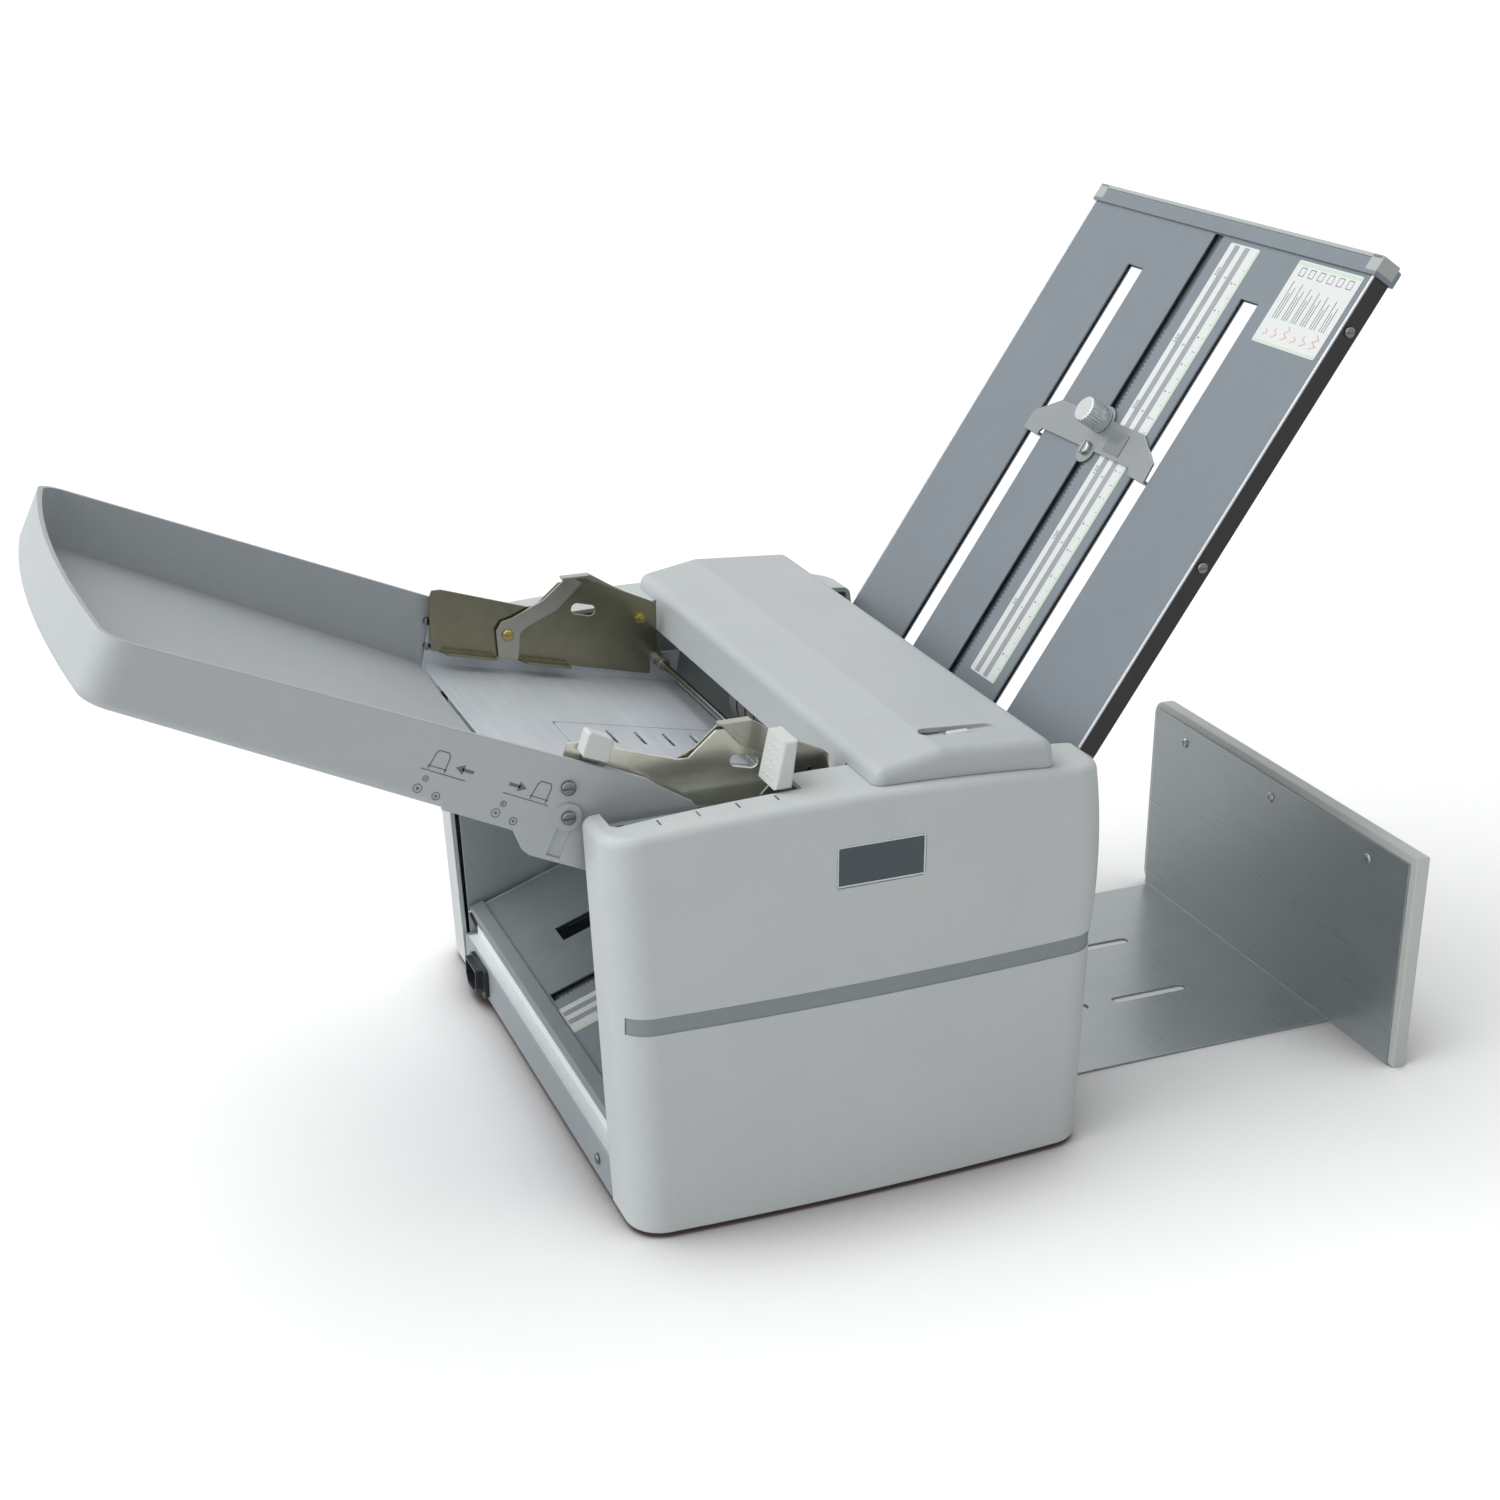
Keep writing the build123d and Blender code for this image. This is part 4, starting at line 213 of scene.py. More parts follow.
class EffectBuilder(Graph):
    """Fills the node group of one shared effect. Spans are the values that become 0 and 1."""

    tone_finer: float = 14.0
    tone_share: float = 0.65
    tone_swing: float = 4.0
    grain_softer: float = 0.6
    corner_span: Point = (0.01, 0.16)
    broken_span: Point = (0.35, 0.62)
    brush_stretch: float = 0.985
    brush_coarser: float = 0.12
    brush_share: float = 0.6
    upward_span: Point = (0.55, 1.0)
    drift_scale: float = 38.0
    drift_span: Point = (0.42, 0.68)
    speck_scale: float = 900.0
    speck_span: Point = (0.55, 0.75)
    drift_share: float = 0.6
    smear_span: Point = (0.36, 0.8)

    def __init__(self, tree: bpy.types.NodeTree) -> None:
        """Start the group with its two ends and the piece's own coordinates.

        Args:
            tree: The empty node group.
        """
        super().__init__(tree)
        self.start = tree.nodes.new("NodeGroupInput")
        self.end = tree.nodes.new("NodeGroupOutput")
        self.place = self.add("ShaderNodeTexCoord").outputs["Object"]

    def take(self, name: str, kind: str, value: object) -> Socket:
        """Add a named input to the group.

        Args:
            name: The input's name.
            kind: Float, Color or Vector.
            value: Its default value.

        Returns:
            The socket inside the group.
        """
        socket = self.tree.interface.new_socket(name, in_out="INPUT", socket_type="NodeSocket" + kind)
        socket.default_value = value
        return self.start.outputs[name]

    def take_scale(self, name: str, size: float) -> Socket:
        """Add a size in metres to the inputs and return the texture scale that it asks for."""
        return self.math("DIVIDE", 1.0, self.take(name, "Float", size))

    def give(self, name: str, kind: str, source: Socket) -> None:
        """Add a named output to the group and link it.

        Args:
            name: The output's name.
            kind: Float, Color or Vector.
            source: The socket that feeds it.
        """
        self.tree.interface.new_socket(name, in_out="OUTPUT", socket_type="NodeSocket" + kind)
        self.tree.links.new(source, self.end.inputs[name])

    def weigh(self, first: object, second: object, share: float) -> Socket:
        """Blend two values by their shares.

        Args:
            first: First value.
            second: Second value.
            share: Share of the first. The second has the rest.

        Returns:
            The blended value's socket.
        """
        rest = self.times(second, 1.0 - share)
        return self.math("ADD", self.times(first, share), rest)

    def tone(self) -> None:
        """Slow and fine drift of a colour's lightness."""
        colour = self.take("Colour", "Color", (0.5, 0.5, 0.5, 1.0))
        amount = self.take("Amount", "Float", 0.05)
        scale = self.take_scale("Size", 0.05)
        slow = self.noise(self.place, scale, 3.0)
        fine = self.noise(self.place, self.times(scale, self.tone_finer))
        blend = self.weigh(slow, fine, self.tone_share)
        centred = self.math("SUBTRACT", blend, 0.5)
        swing = self.times(self.times(centred, amount), self.tone_swing)
        self.give("Colour", "Color", self.scaled(colour, self.math("ADD", swing, 1.0)))
        self.give("Value", "Float", blend)

    def grain(self) -> None:
        """Height of a fine moulded grain."""
        scale = self.take_scale("Size", 0.001)
        cells = self.add(
            "ShaderNodeTexVoronoi", {"Vector": self.place, "Scale": scale}, feature="SMOOTH_F1",
        )
        soft = self.noise(self.place, self.times(scale, self.grain_softer), 3.0)
        self.give("Height", "Float", self.math("ADD", cells.outputs[0], soft))

    def edge(self) -> None:
        """Where edges are rubbed, and a normal that rounds them."""
        radius = self.take("Radius", "Float", 0.0008)
        patches = self.take_scale("Patch", 0.012)
        rounded = self.add("ShaderNodeBevel", {"Radius": radius}, samples=4).outputs[0]
        plain = self.add("ShaderNodeNewGeometry").outputs["Normal"]
        facing = self.vector("DOT_PRODUCT", rounded, plain).outputs["Value"]
        corner = self.span(self.math("SUBTRACT", 1.0, facing), *self.corner_span)
        broken = self.span(self.noise(self.place, patches, 4.0), *self.broken_span)
        self.give("Mask", "Float", self.times(corner, broken))
        self.give("Normal", "Vector", rounded)

    def brush(self) -> None:
        """Fine streaks along one direction."""
        along = self.take("Along", "Vector", ALONG)
        scale = self.take_scale("Pitch", 0.0008)
        reach = self.vector("DOT_PRODUCT", self.place, along).outputs["Value"]
        stretch = self.scaled(along, self.times(reach, self.brush_stretch))
        squeezed = self.vector("SUBTRACT", self.place, stretch).outputs[0]
        coarse = self.noise(squeezed, self.times(scale, self.brush_coarser))
        fine = self.noise(squeezed, scale, 3.0)
        self.give("Value", "Float", self.weigh(fine, coarse, self.brush_share))

    def dust(self) -> None:
        """Dust on faces that look up."""
        amount = self.take("Amount", "Float", 0.1)
        normal = self.add("ShaderNodeNewGeometry").outputs["Normal"]
        upward = self.add("ShaderNodeSeparateXYZ", {0: normal}).outputs[2]
        facing = self.span(upward, *self.upward_span)
        drift = self.span(self.noise(self.place, self.drift_scale, 6.0), *self.drift_span)
        specks = self.span(self.noise(self.place, self.speck_scale), *self.speck_span)
        lying = self.times(self.weigh(drift, specks, self.drift_share), facing)
        self.give("Mask", "Float", self.times(lying, amount))

    def smear(self) -> None:
        """Soft marks that hands leave on a surface."""
        scale = self.take_scale("Size", 0.04)
        bent = self.add("ShaderNodeTexNoise", {
            "Vector": self.place, "Scale": scale, "Detail": 1.5, "Distortion": 0.4,
        })
        self.give("Mask", "Float", self.span(bent.outputs[0], *self.smear_span))


# ---- finishes
DUST_COLOUR = srgb(206, 205, 200)


def emptied(block: bpy.types.Material | bpy.types.World) -> Graph:
    """Empty a material's or a world's node tree.

    Args:
        block: The material or the world.

    Returns:
        Its graph.
    """
    block.use_nodes = True
    block.node_tree.nodes.clear()
    return Graph(block.node_tree)


class Surface:
    """What every kind of finish shares."""

    def material(self, name: str) -> bpy.types.Material:
        """Make a new material of this finish.

        Args:
            name: The material's name.

        Returns:
            The material.
        """
        material = bpy.data.materials.new(name)
        graph = emptied(material)
        shader = graph.add("ShaderNodeBsdfPrincipled")
        graph.add("ShaderNodeOutputMaterial", {"Surface": shader.outputs[0]})
        self.fill(graph, shader)
        return material

    def fill(self, graph: Graph, shader: Node) -> None:
        """Add the finish's own nodes. Every finish states its own fill.

        Args:
            graph: The material's graph.
            shader: Its Principled shader.
        """
        raise NotImplementedError


@dataclass(frozen=True)
class Moulded(Surface):
    """Moulded plastic: spark grain, slow colour drift, polished edges, a little dust."""

    colour: Colour
    roughness: float = 0.5
    grain: float = 0.0016
    relief: float = 0.00007
    drift: float = 0.035
    patch: float = 0.06
    worn: float = 0.35
    worn_gain: float = 1.22
    dust: float = 0.12
    dust_dulls: float = 0.5
    smear: float = 0.05
    smear_shines: float = 0.07
    edge: float = 0.0008
    specular: float = 0.42

    def fill(self, graph: Graph, shader: Node) -> None:
        """Lay spark grain, drift, edges, dust and smears.

        Args:
            graph: The material's graph.
            shader: Its Principled shader.
        """
        tone = graph.effect(Effect.TONE, Colour=self.colour, Amount=self.drift, Size=self.patch)
        edge = graph.effect(Effect.EDGE, Radius=self.edge)
        dust = graph.effect(Effect.DUST, Amount=self.dust).outputs["Mask"]
        smear = graph.effect(Effect.SMEAR, Size=self.smear).outputs["Mask"]
        grain = graph.effect(Effect.GRAIN, Size=self.grain)
        wear = graph.times(edge.outputs["Mask"], self.worn)
        rubbed = graph.mix(wear, tone.outputs["Colour"], shade(self.colour, self.worn_gain))
        graph.feed(shader, "Base Color", graph.mix(dust, rubbed, DUST_COLOUR))
        dull = graph.math("ADD", self.roughness, graph.times(dust, self.dust_dulls))
        gloss = graph.math("SUBTRACT", dull, graph.times(smear, self.smear_shines))
        graph.feed(shader, "Roughness", gloss)
        graph.bump(shader, self.relief, grain.outputs["Height"], Normal=edge.outputs["Normal"])
        graph.feed(shader, "Specular IOR Level", self.specular)


@dataclass(frozen=True)
class Sheet(Surface):
    """Sheet or turned metal: brushed streaks, bright rubbed edges, faint smears."""

    colour: Colour
    roughness: float = 0.42
    metallic: float = 1.0
    along: Triple = ACROSS
    pitch: float = 0.0008
    streak: float = 0.03
    streak_lightens: float = 4.0
    streak_roughens: float = 1.5
    relief: float = 0.000012
    worn: float = 0.5
    worn_gain: float = 1.7
    edge: float = 0.0007
    dust: float = 0.05
    drift: float = 0.05
    patch: float = 0.09
    smear: float = 0.045
    smear_dulls: float = 0.06

    def fill(self, graph: Graph, shader: Node) -> None:
        """Lay brushed streaks, drift, edges, dust and smears.

        Args:
            graph: The material's graph.
            shader: Its Principled shader.
        """
        tone = graph.effect(Effect.TONE, Colour=self.colour, Amount=self.drift, Size=self.patch)
        brush = graph.effect(Effect.BRUSH, Along=self.along, Pitch=self.pitch)
        edge = graph.effect(Effect.EDGE, Radius=self.edge)
        dust = graph.effect(Effect.DUST, Amount=self.dust)
        smear = graph.effect(Effect.SMEAR, Size=self.smear)
        lined = graph.math("SUBTRACT", brush.outputs["Value"], 0.5)
        gain = graph.math("ADD", graph.times(lined, self.streak * self.streak_lightens), 1.0)
        streaked = graph.scaled(tone.outputs["Colour"], gain)
        wear = graph.times(edge.outputs["Mask"], self.worn)
        rubbed = graph.mix(wear, streaked, shade(self.colour, self.worn_gain))
        graph.feed(shader, "Base Color", graph.mix(dust.outputs["Mask"], rubbed, DUST_COLOUR))
        lines = graph.times(lined, self.streak * self.streak_roughens)
        spread = graph.math("ADD", self.roughness, lines)
        marks = graph.times(smear.outputs["Mask"], self.smear_dulls)
        graph.feed(shader, "Roughness", graph.math("ADD", spread, marks))
        graph.feed(shader, "Metallic", self.metallic)
        graph.bump(shader, self.relief, brush.outputs["Value"], Normal=edge.outputs["Normal"])


@dataclass(frozen=True)
class Rubber(Surface):
    """Rubber or felt: matt, speckled and dusty."""

    colour: Colour
    roughness: float = 0.82
    grain: float = 0.0007
    relief: float = 0.00006
    drift: float = 0.12
    patch: float = 0.02
    dust: float = 0.16
    speck_shines: float = 0.08

    def fill(self, graph: Graph, shader: Node) -> None:
        """Lay speckles, grain and dust.

        Args:
            graph: The material's graph.
            shader: Its Principled shader.
        """
        tone = graph.effect(Effect.TONE, Colour=self.colour, Amount=self.drift, Size=self.patch)
        dust = graph.effect(Effect.DUST, Amount=self.dust)
        grain = graph.effect(Effect.GRAIN, Size=self.grain)
        dusted = graph.mix(dust.outputs["Mask"], tone.outputs["Colour"], DUST_COLOUR)
        graph.feed(shader, "Base Color", dusted)
        polish = graph.times(tone.outputs["Value"], self.speck_shines)
        graph.feed(shader, "Roughness", graph.math("SUBTRACT", self.roughness, polish))
        graph.bump(shader, self.relief, grain.outputs["Height"])


@dataclass(frozen=True)
class Printed(Surface):
    """Printed film: a faint fibre, smears and a soft varnish."""

    colour: Colour
    roughness: float = 0.4
    varnish: float = 0.25
    relief: float = 0.00001
    drift: float = 0.03
    patch: float = 0.03
    smear: float = 0.02
    fibre: float = 0.0012
    mark: float = 0.12
    mark_colour: Colour = srgb(214, 210, 190)

    def fill(self, graph: Graph, shader: Node) -> None:
        """Lay the fibre, smears and varnish.

        Args:
            graph: The material's graph.
            shader: Its Principled shader.
        """
        tone = graph.effect(Effect.TONE, Colour=self.colour, Amount=self.drift, Size=self.patch)
        smear = graph.effect(Effect.SMEAR, Size=self.smear)
        grain = graph.effect(Effect.GRAIN, Size=self.fibre)
        marked = graph.times(smear.outputs["Mask"], self.mark)
        yellowed = graph.mix(marked, tone.outputs["Colour"], self.mark_colour)
        graph.feed(shader, "Base Color", yellowed)
        graph.feed(shader, "Roughness", graph.math("ADD", self.roughness, marked))
        graph.bump(shader, self.relief, grain.outputs["Height"])
        graph.feed(shader, "Coat Weight", self.varnish)


@dataclass(frozen=True)
class Clear(Surface):
    """Smoked clear plastic with fine scratches."""

    colour: Colour
    roughness: float = 0.12
    drift: float = 0.05
    patch: float = 0.02
    scratch: float = 0.12
    pitch: float = 0.0012
    coat: float = 0.6

    def fill(self, graph: Graph, shader: Node) -> None:
        """Lay scratches and a clear coat.

        Args:
            graph: The material's graph.
            shader: Its Principled shader.
        """
        tone = graph.effect(Effect.TONE, Colour=self.colour, Amount=self.drift, Size=self.patch)
        brush = graph.effect(Effect.BRUSH, Along=ACROSS, Pitch=self.pitch)
        graph.feed(shader, "Base Color", tone.outputs["Colour"])
        scratched = graph.times(brush.outputs["Value"], self.scratch)
        graph.feed(shader, "Roughness", graph.math("ADD", self.roughness, scratched))
        graph.feed(shader, "Coat Weight", self.coat)


def slope(degrees: float) -> Triple:
    """Return the unit vector that climbs towards +X at this angle."""
    return (math.cos(math.radians(degrees)), 0.0, math.sin(math.radians(degrees)))


GUIDE_RUN, STRIP_RUN, UPPER_RUN = slope(-11.8), slope(-30.0), slope(56.4)


class Finish(Enum):
    """Every finish on the machine."""

    COVER = Moulded(srgb(198, 203, 203))
    HOOD = Moulded(srgb(185, 190, 191), roughness=0.46)
    TRAY = Moulded(srgb(184, 189, 192), roughness=0.52)
    STRIPE = Moulded(srgb(140, 148, 150), roughness=0.45, worn=0.2)
    LEVER = Moulded(srgb(214, 217, 214), roughness=0.4, worn=0.15, edge=0.0006)
    LATCH = Moulded(srgb(206, 210, 208), roughness=0.42)
    INLET = Moulded(srgb(38, 43, 48), roughness=0.42, dust=0.2)
    PANEL = Moulded(srgb(204, 208, 204), roughness=0.42)
    END_CAP = Moulded(srgb(170, 176, 174))
    GEAR = Moulded(srgb(214, 210, 196), roughness=0.4, grain=0.003)
    # Pan lip: partly its own light paint, partly painted light that lightens the up-facing lip and lifts
    # the shade under the feed tray.
    LIP = Moulded(srgb(232, 236, 238), roughness=0.45)
    BADGE = Sheet(srgb(78, 88, 92), roughness=0.24, metallic=0.7, along=ALONG)
    TABLE = Sheet(srgb(206, 212, 218), metallic=0.25, streak=0.10)
    # Both side guides are the same steel: the near guide's lighter colour is a painted reflection and the
    # far guide's darker colour is painted shade.
    GUIDE_NEAR = Sheet(
        srgb(214, 213, 198), roughness=0.18, metallic=0.7, along=GUIDE_RUN,
        streak=0.05, worn=0.3, drift=0.16,
    )
    GUIDE_FAR = Sheet(
        srgb(132, 128, 108), roughness=0.2, metallic=0.8, along=GUIDE_RUN,
        streak=0.05, worn=0.3, drift=0.2,
    )
    STRIP = Sheet(
        srgb(168, 167, 156), roughness=0.22, metallic=0.75, along=STRIP_RUN,
        streak=0.05, worn=0.3, drift=0.14,
    )
    UPPER_FACE = Sheet(srgb(122, 131, 138), metallic=0.35, along=UPPER_RUN, dust=0.03)
    LOWER_FACE = Sheet(srgb(134, 142, 145), metallic=0.35, along=slope(20.0))
    PLATE_BACK = Sheet(srgb(122, 128, 132), metallic=0.4, along=UPPER_RUN)
    # Painted shade and painted highlight: the plate's sides are the face's metal darkened, and the bright
    # strip on each bend stands in for its highlight; the same bright finish also dresses the badge's rim.
    PLATE_SIDE = Sheet(srgb(58, 57, 58), roughness=0.3, metallic=0.7, along=UPPER_RUN, streak=0.06)
    BEND = Sheet(srgb(206, 210, 214), roughness=0.25, metallic=0.6, along=UPPER_RUN)
    STOP_BAR = Sheet(srgb(152, 157, 160), roughness=0.3, metallic=0.7, relief=0.000004)
    KNOB = Sheet(srgb(214, 218, 216), roughness=0.14, metallic=0.8, along=UPPER_RUN, streak=0.02)
    CHASSIS = Sheet(srgb(170, 180, 178), metallic=0.3, along=UPRIGHT)
    PAN = Sheet(srgb(150, 158, 162), roughness=0.45, metallic=0.2, streak=0.02, along=ALONG)
    EXIT = Sheet(srgb(178, 185, 188), metallic=0.3)
    STACKER = Sheet(srgb(166, 173, 174), roughness=0.28, metallic=0.7, streak=0.04)
    GROUND = Sheet(srgb(150, 152, 154), roughness=0.2, streak=0.06)
    SCREW = Sheet(srgb(122, 126, 128), roughness=0.14, streak=0.02, pitch=0.0004)
    SMALL_SCREW = Sheet(srgb(168, 171, 170), roughness=0.25, streak=0.02, pitch=0.0004)
    BRASS = Sheet(srgb(178, 160, 104), roughness=0.24, streak=0.04, pitch=0.0004)
    MOTOR = Sheet(srgb(70, 76, 80), roughness=0.5, metallic=0.2, streak=0.04)
    RUBBER = Rubber(srgb(52, 54, 56))
    TYRE = Rubber(srgb(96, 92, 88), grain=0.001)
    PAD = Rubber(srgb(120, 86, 64), grain=0.001)
    FILM = Printed(srgb(216, 220, 219))
    RULE = Printed(srgb(146, 152, 158))
    INK = Printed(srgb(96, 102, 112))
    ACCENT = Printed(srgb(196, 214, 196))
    FOLD_MARK = Printed(srgb(206, 150, 146))
    WINDOW = Clear(srgb(112, 118, 120))

    def material(self) -> bpy.types.Material:
        """Return this finish's material, making it on first use."""
        name = self.name.lower()
        return bpy.data.materials.get(name) or self.value.material(name)


# ---- mesh helpers
def working_plane(x: float, y: float, z: float, tilt: float = 0.0, upright: bool = False) -> Matrix:
    """Plane to draw on, whose own X climbs towards +X.

    Args:
        x: Where its origin is along the machine.
        y: Where it is across the machine.
        z: Its height.
        tilt: Degrees that its own X climbs.
        upright: Whether it faces the operator, with its Y up. If not, it faces up, with its Y across.

    Returns:
        The plane's matrix.
    """
    cosine, sine = math.cos(math.radians(tilt)), math.sin(math.radians(tilt))
    if upright:
        return Matrix(((cosine, -sine, 0, x), (0, 0, -1, y), (sine, cosine, 0, z), (0, 0, 0, 1)))
    return Matrix(((cosine, 0, -sine, x), (0, 1, 0, y), (sine, 0, cosine, z), (0, 0, 0, 1)))


def around(centre: Point, radius: float, angle: float) -> Point:
    """Point on a circle.

    Args:
        centre: The circle's middle.
        radius: Its radius.
        angle: Where the point lies, in radians.

    Returns:
        The point.
    """
    return (centre[0] + radius * math.cos(angle), centre[1] + radius * math.sin(angle))


class Shape:
    """Mesh code for one piece, in millimetres on a working plane."""

    def __init__(self, name: str, plane: Matrix) -> None:
        """Start an empty piece on a plane.

        Args:
            name: The piece's name.
            plane: The working plane.
        """
        self.name = name
        self.plane = plane
        self.mesh = bmesh.new()

    def prism(self, outline: list[Point], heights: Point) -> None:
        """Add a straight-sided solid.

        Args:
            outline: Its corners in order.
            heights: Heights of its underside and top off the plane.
        """
        self.wrap(*([self.mesh.verts.new((x, y, height)) for x, y in outline] for height in heights))

    def wrap(self, lower: list[bmesh.types.BMVert], upper: list[bmesh.types.BMVert]) -> None:
        """Close a solid between two rings of corners.

        Args:
            lower: Corners of its underside in order.
            upper: Corners of its top.
        """
        self.mesh.faces.new(upper)
        self.mesh.faces.new(list(reversed(lower)))
        for index in range(len(lower)):
            after = (index + 1) % len(lower)
            self.mesh.faces.new((lower[index], lower[after], upper[after], upper[index]))

    def slab(self, x: Point, y: Point, heights: Point, radius: float = 0.0) -> None:
        """Add a flat block, its corners rounded if a radius is given.

        Args:
            x: Its two ends along X.
            y: Its two ends along Y.
            heights: Heights of its underside and top.
            radius: Corner radius.
        """
        if radius <= 0:
            self.prism([(x[0], y[0]), (x[1], y[0]), (x[1], y[1]), (x[0], y[1])], heights)
            return
        outline = []
        centres = (
            (x[1] - radius, y[1] - radius, 0), (x[0] + radius, y[1] - radius, 90),
            (x[0] + radius, y[0] + radius, 180), (x[1] - radius, y[0] + radius, 270),
        )
        for middle_x, middle_y, start in centres:
            for step in range(7):
                angle = math.radians(start + step * 15)
                outline.append(around((middle_x, middle_y), radius, angle))
        self.prism(outline, heights)

    def disc(self, centre: Point, radius: float, heights: Point, sides: int = 12) -> None:
        """Add a round disc.

        Args:
            centre: Its middle.
            radius: Its radius.
            heights: Heights of its underside and top.
            sides: Number of sides that stand for the circle.
        """
        turn = 2 * math.pi / sides
        self.prism([around(centre, radius, turn * n) for n in range(sides)], heights)

    def stroke(self, points: list[Point], width: float, heights: Point) -> None:
        """Add a line of short bars through points.

        Args:
            points: Points that the line passes.
            width: Its width.
            heights: Heights of its underside and top.
        """
        for first, second in zip(points, points[1:]):
            run = Vector((second[0] - first[0], second[1] - first[1]))
            side = Vector((-run.y, run.x)).normalized() * width / 2
            corners = [
                (first[0] - side.x, first[1] - side.y), (second[0] - side.x, second[1] - side.y),
                (second[0] + side.x, second[1] + side.y), (first[0] + side.x, first[1] + side.y),
            ]
            self.prism(corners, heights)

    def dome(self, centre: Point, radius: float, base: float, rise: float) -> None:
        """Add a low round bump.

        Args:
            centre: Its middle.
            radius: Its radius at the base.
            base: Height of its base.
            rise: How far it rises.
        """
        sides, rings = 16, 4
        turn = 2 * math.pi / sides
        below: list[bmesh.types.BMVert] = []
        for ring in range(rings):
            angle = math.pi / 2 * ring / rings
            reach, level = radius * math.cos(angle), base + rise * math.sin(angle)
            above = [self.mesh.verts.new((*around(centre, reach, turn * n), level)) for n in range(sides)]
            if not below:
                self.mesh.faces.new(list(reversed(above)))
            for n in range(sides if below else 0):
                after = (n + 1) % sides
                self.mesh.faces.new((below[n], below[after], above[after], above[n]))
            below = above
        top = self.mesh.verts.new((centre[0], centre[1], base + rise))
        for n in range(sides):
            self.mesh.faces.new((below[n], below[(n + 1) % sides], top))

    def figures(self, text: str, place: Point, size: float, heights: Point) -> None:
        """Add plain figures.

        Args:
            text: The figures.
            place: Their lower left corner.
            size: Their height, about.
            heights: Heights of their underside and top.
        """
        low, high = heights
        curve = bpy.data.curves.new("figures", type="FONT")
        curve.body = text
        curve.size = size
        curve.resolution_u = 2
        curve.extrude = (high - low) / 2
        holder = bpy.data.objects.new("figures", curve)
        flat = bpy.data.meshes.new_from_object(holder)
        flat.transform(Matrix.Translation((place[0], place[1], (low + high) / 2)))
        self.mesh.from_mesh(flat)
        bpy.data.meshes.remove(flat)
        bpy.data.objects.remove(holder)
        bpy.data.curves.remove(curve)

    def place(self, finish: Finish, body: str = "machine", bevel: float = 0.0) -> None:
        """Turn the mesh into an object on a body.

        Args:
            finish: Its finish.
            body: The CAD body that it rides on.
            bevel: Width of a bevel on its sharp edges, in millimetres.
        """
        self.mesh.transform(self.plane)
        bmesh.ops.scale(self.mesh, vec=(MM, MM, MM), verts=self.mesh.verts)
        bmesh.ops.recalc_face_normals(self.mesh, faces=self.mesh.faces)
        data = bpy.data.meshes.new(self.name)
        self.mesh.to_mesh(data)
        self.mesh.free()
        data.materials.append(finish.material())
        piece = bpy.data.objects.new(self.name, data)
        bpy.context.scene.collection.objects.link(piece)
        if bevel > 0:
            rounding = piece.modifiers.new("bevel", "BEVEL")
            rounding.width = bevel * MM
            rounding.segments = 2
            rounding.limit_method = "ANGLE"
        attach(piece, body)
        LOG.info("piece %s on %s", self.name, body)


def beside(middle: float, half: float) -> Point:
    """Return the two ends of a width about its middle."""
    return (middle - half, middle + half)


def moved(ends: Point, by: float) -> Point:
    """Return two ends, both moved by a distance."""
    return (ends[0] + by, ends[1] + by)


def ordered(first: float, second: float) -> Point:
    """Return two ends, the lower one first."""
    return (min(first, second), max(first, second))


def drop_on(node: str, x: float, y: float) -> float:
    """Height of a CAD node's top at a point.

    Args:
        node: The CAD node.
        x: Place along the machine, in millimetres.
        y: Place across it, in millimetres.

    Returns:
        The height in millimetres.
    """
    start = Vector((x * MM, y * MM, 1.0))
    found, spot, _normal, _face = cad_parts[node].ray_cast(start, Vector((0.0, 0.0, -1.0)))
    return spot.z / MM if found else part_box(node)[1][2] / MM


# ---- sub-assemblies
@dataclass
class SubAssembly:
    """A group of pieces that belong together."""

    finishes: ClassVar[dict[str, Finish]] = {}

    def looks(self) -> dict[str, Finish]:
        """Return the finish of each CAD node in this group."""
        return self.finishes

    def dress(self) -> None:
        """Give every CAD node of this group its finish."""
        for node, finish in self.looks().items():
            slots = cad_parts[node].data.materials
            for index in range(len(slots)):
                slots[index] = finish.material()
            LOG.info("node %s in %s", node, finish.name.lower())

    def build(self) -> None:
        """Add the pieces that the CAD leaves to the scene."""


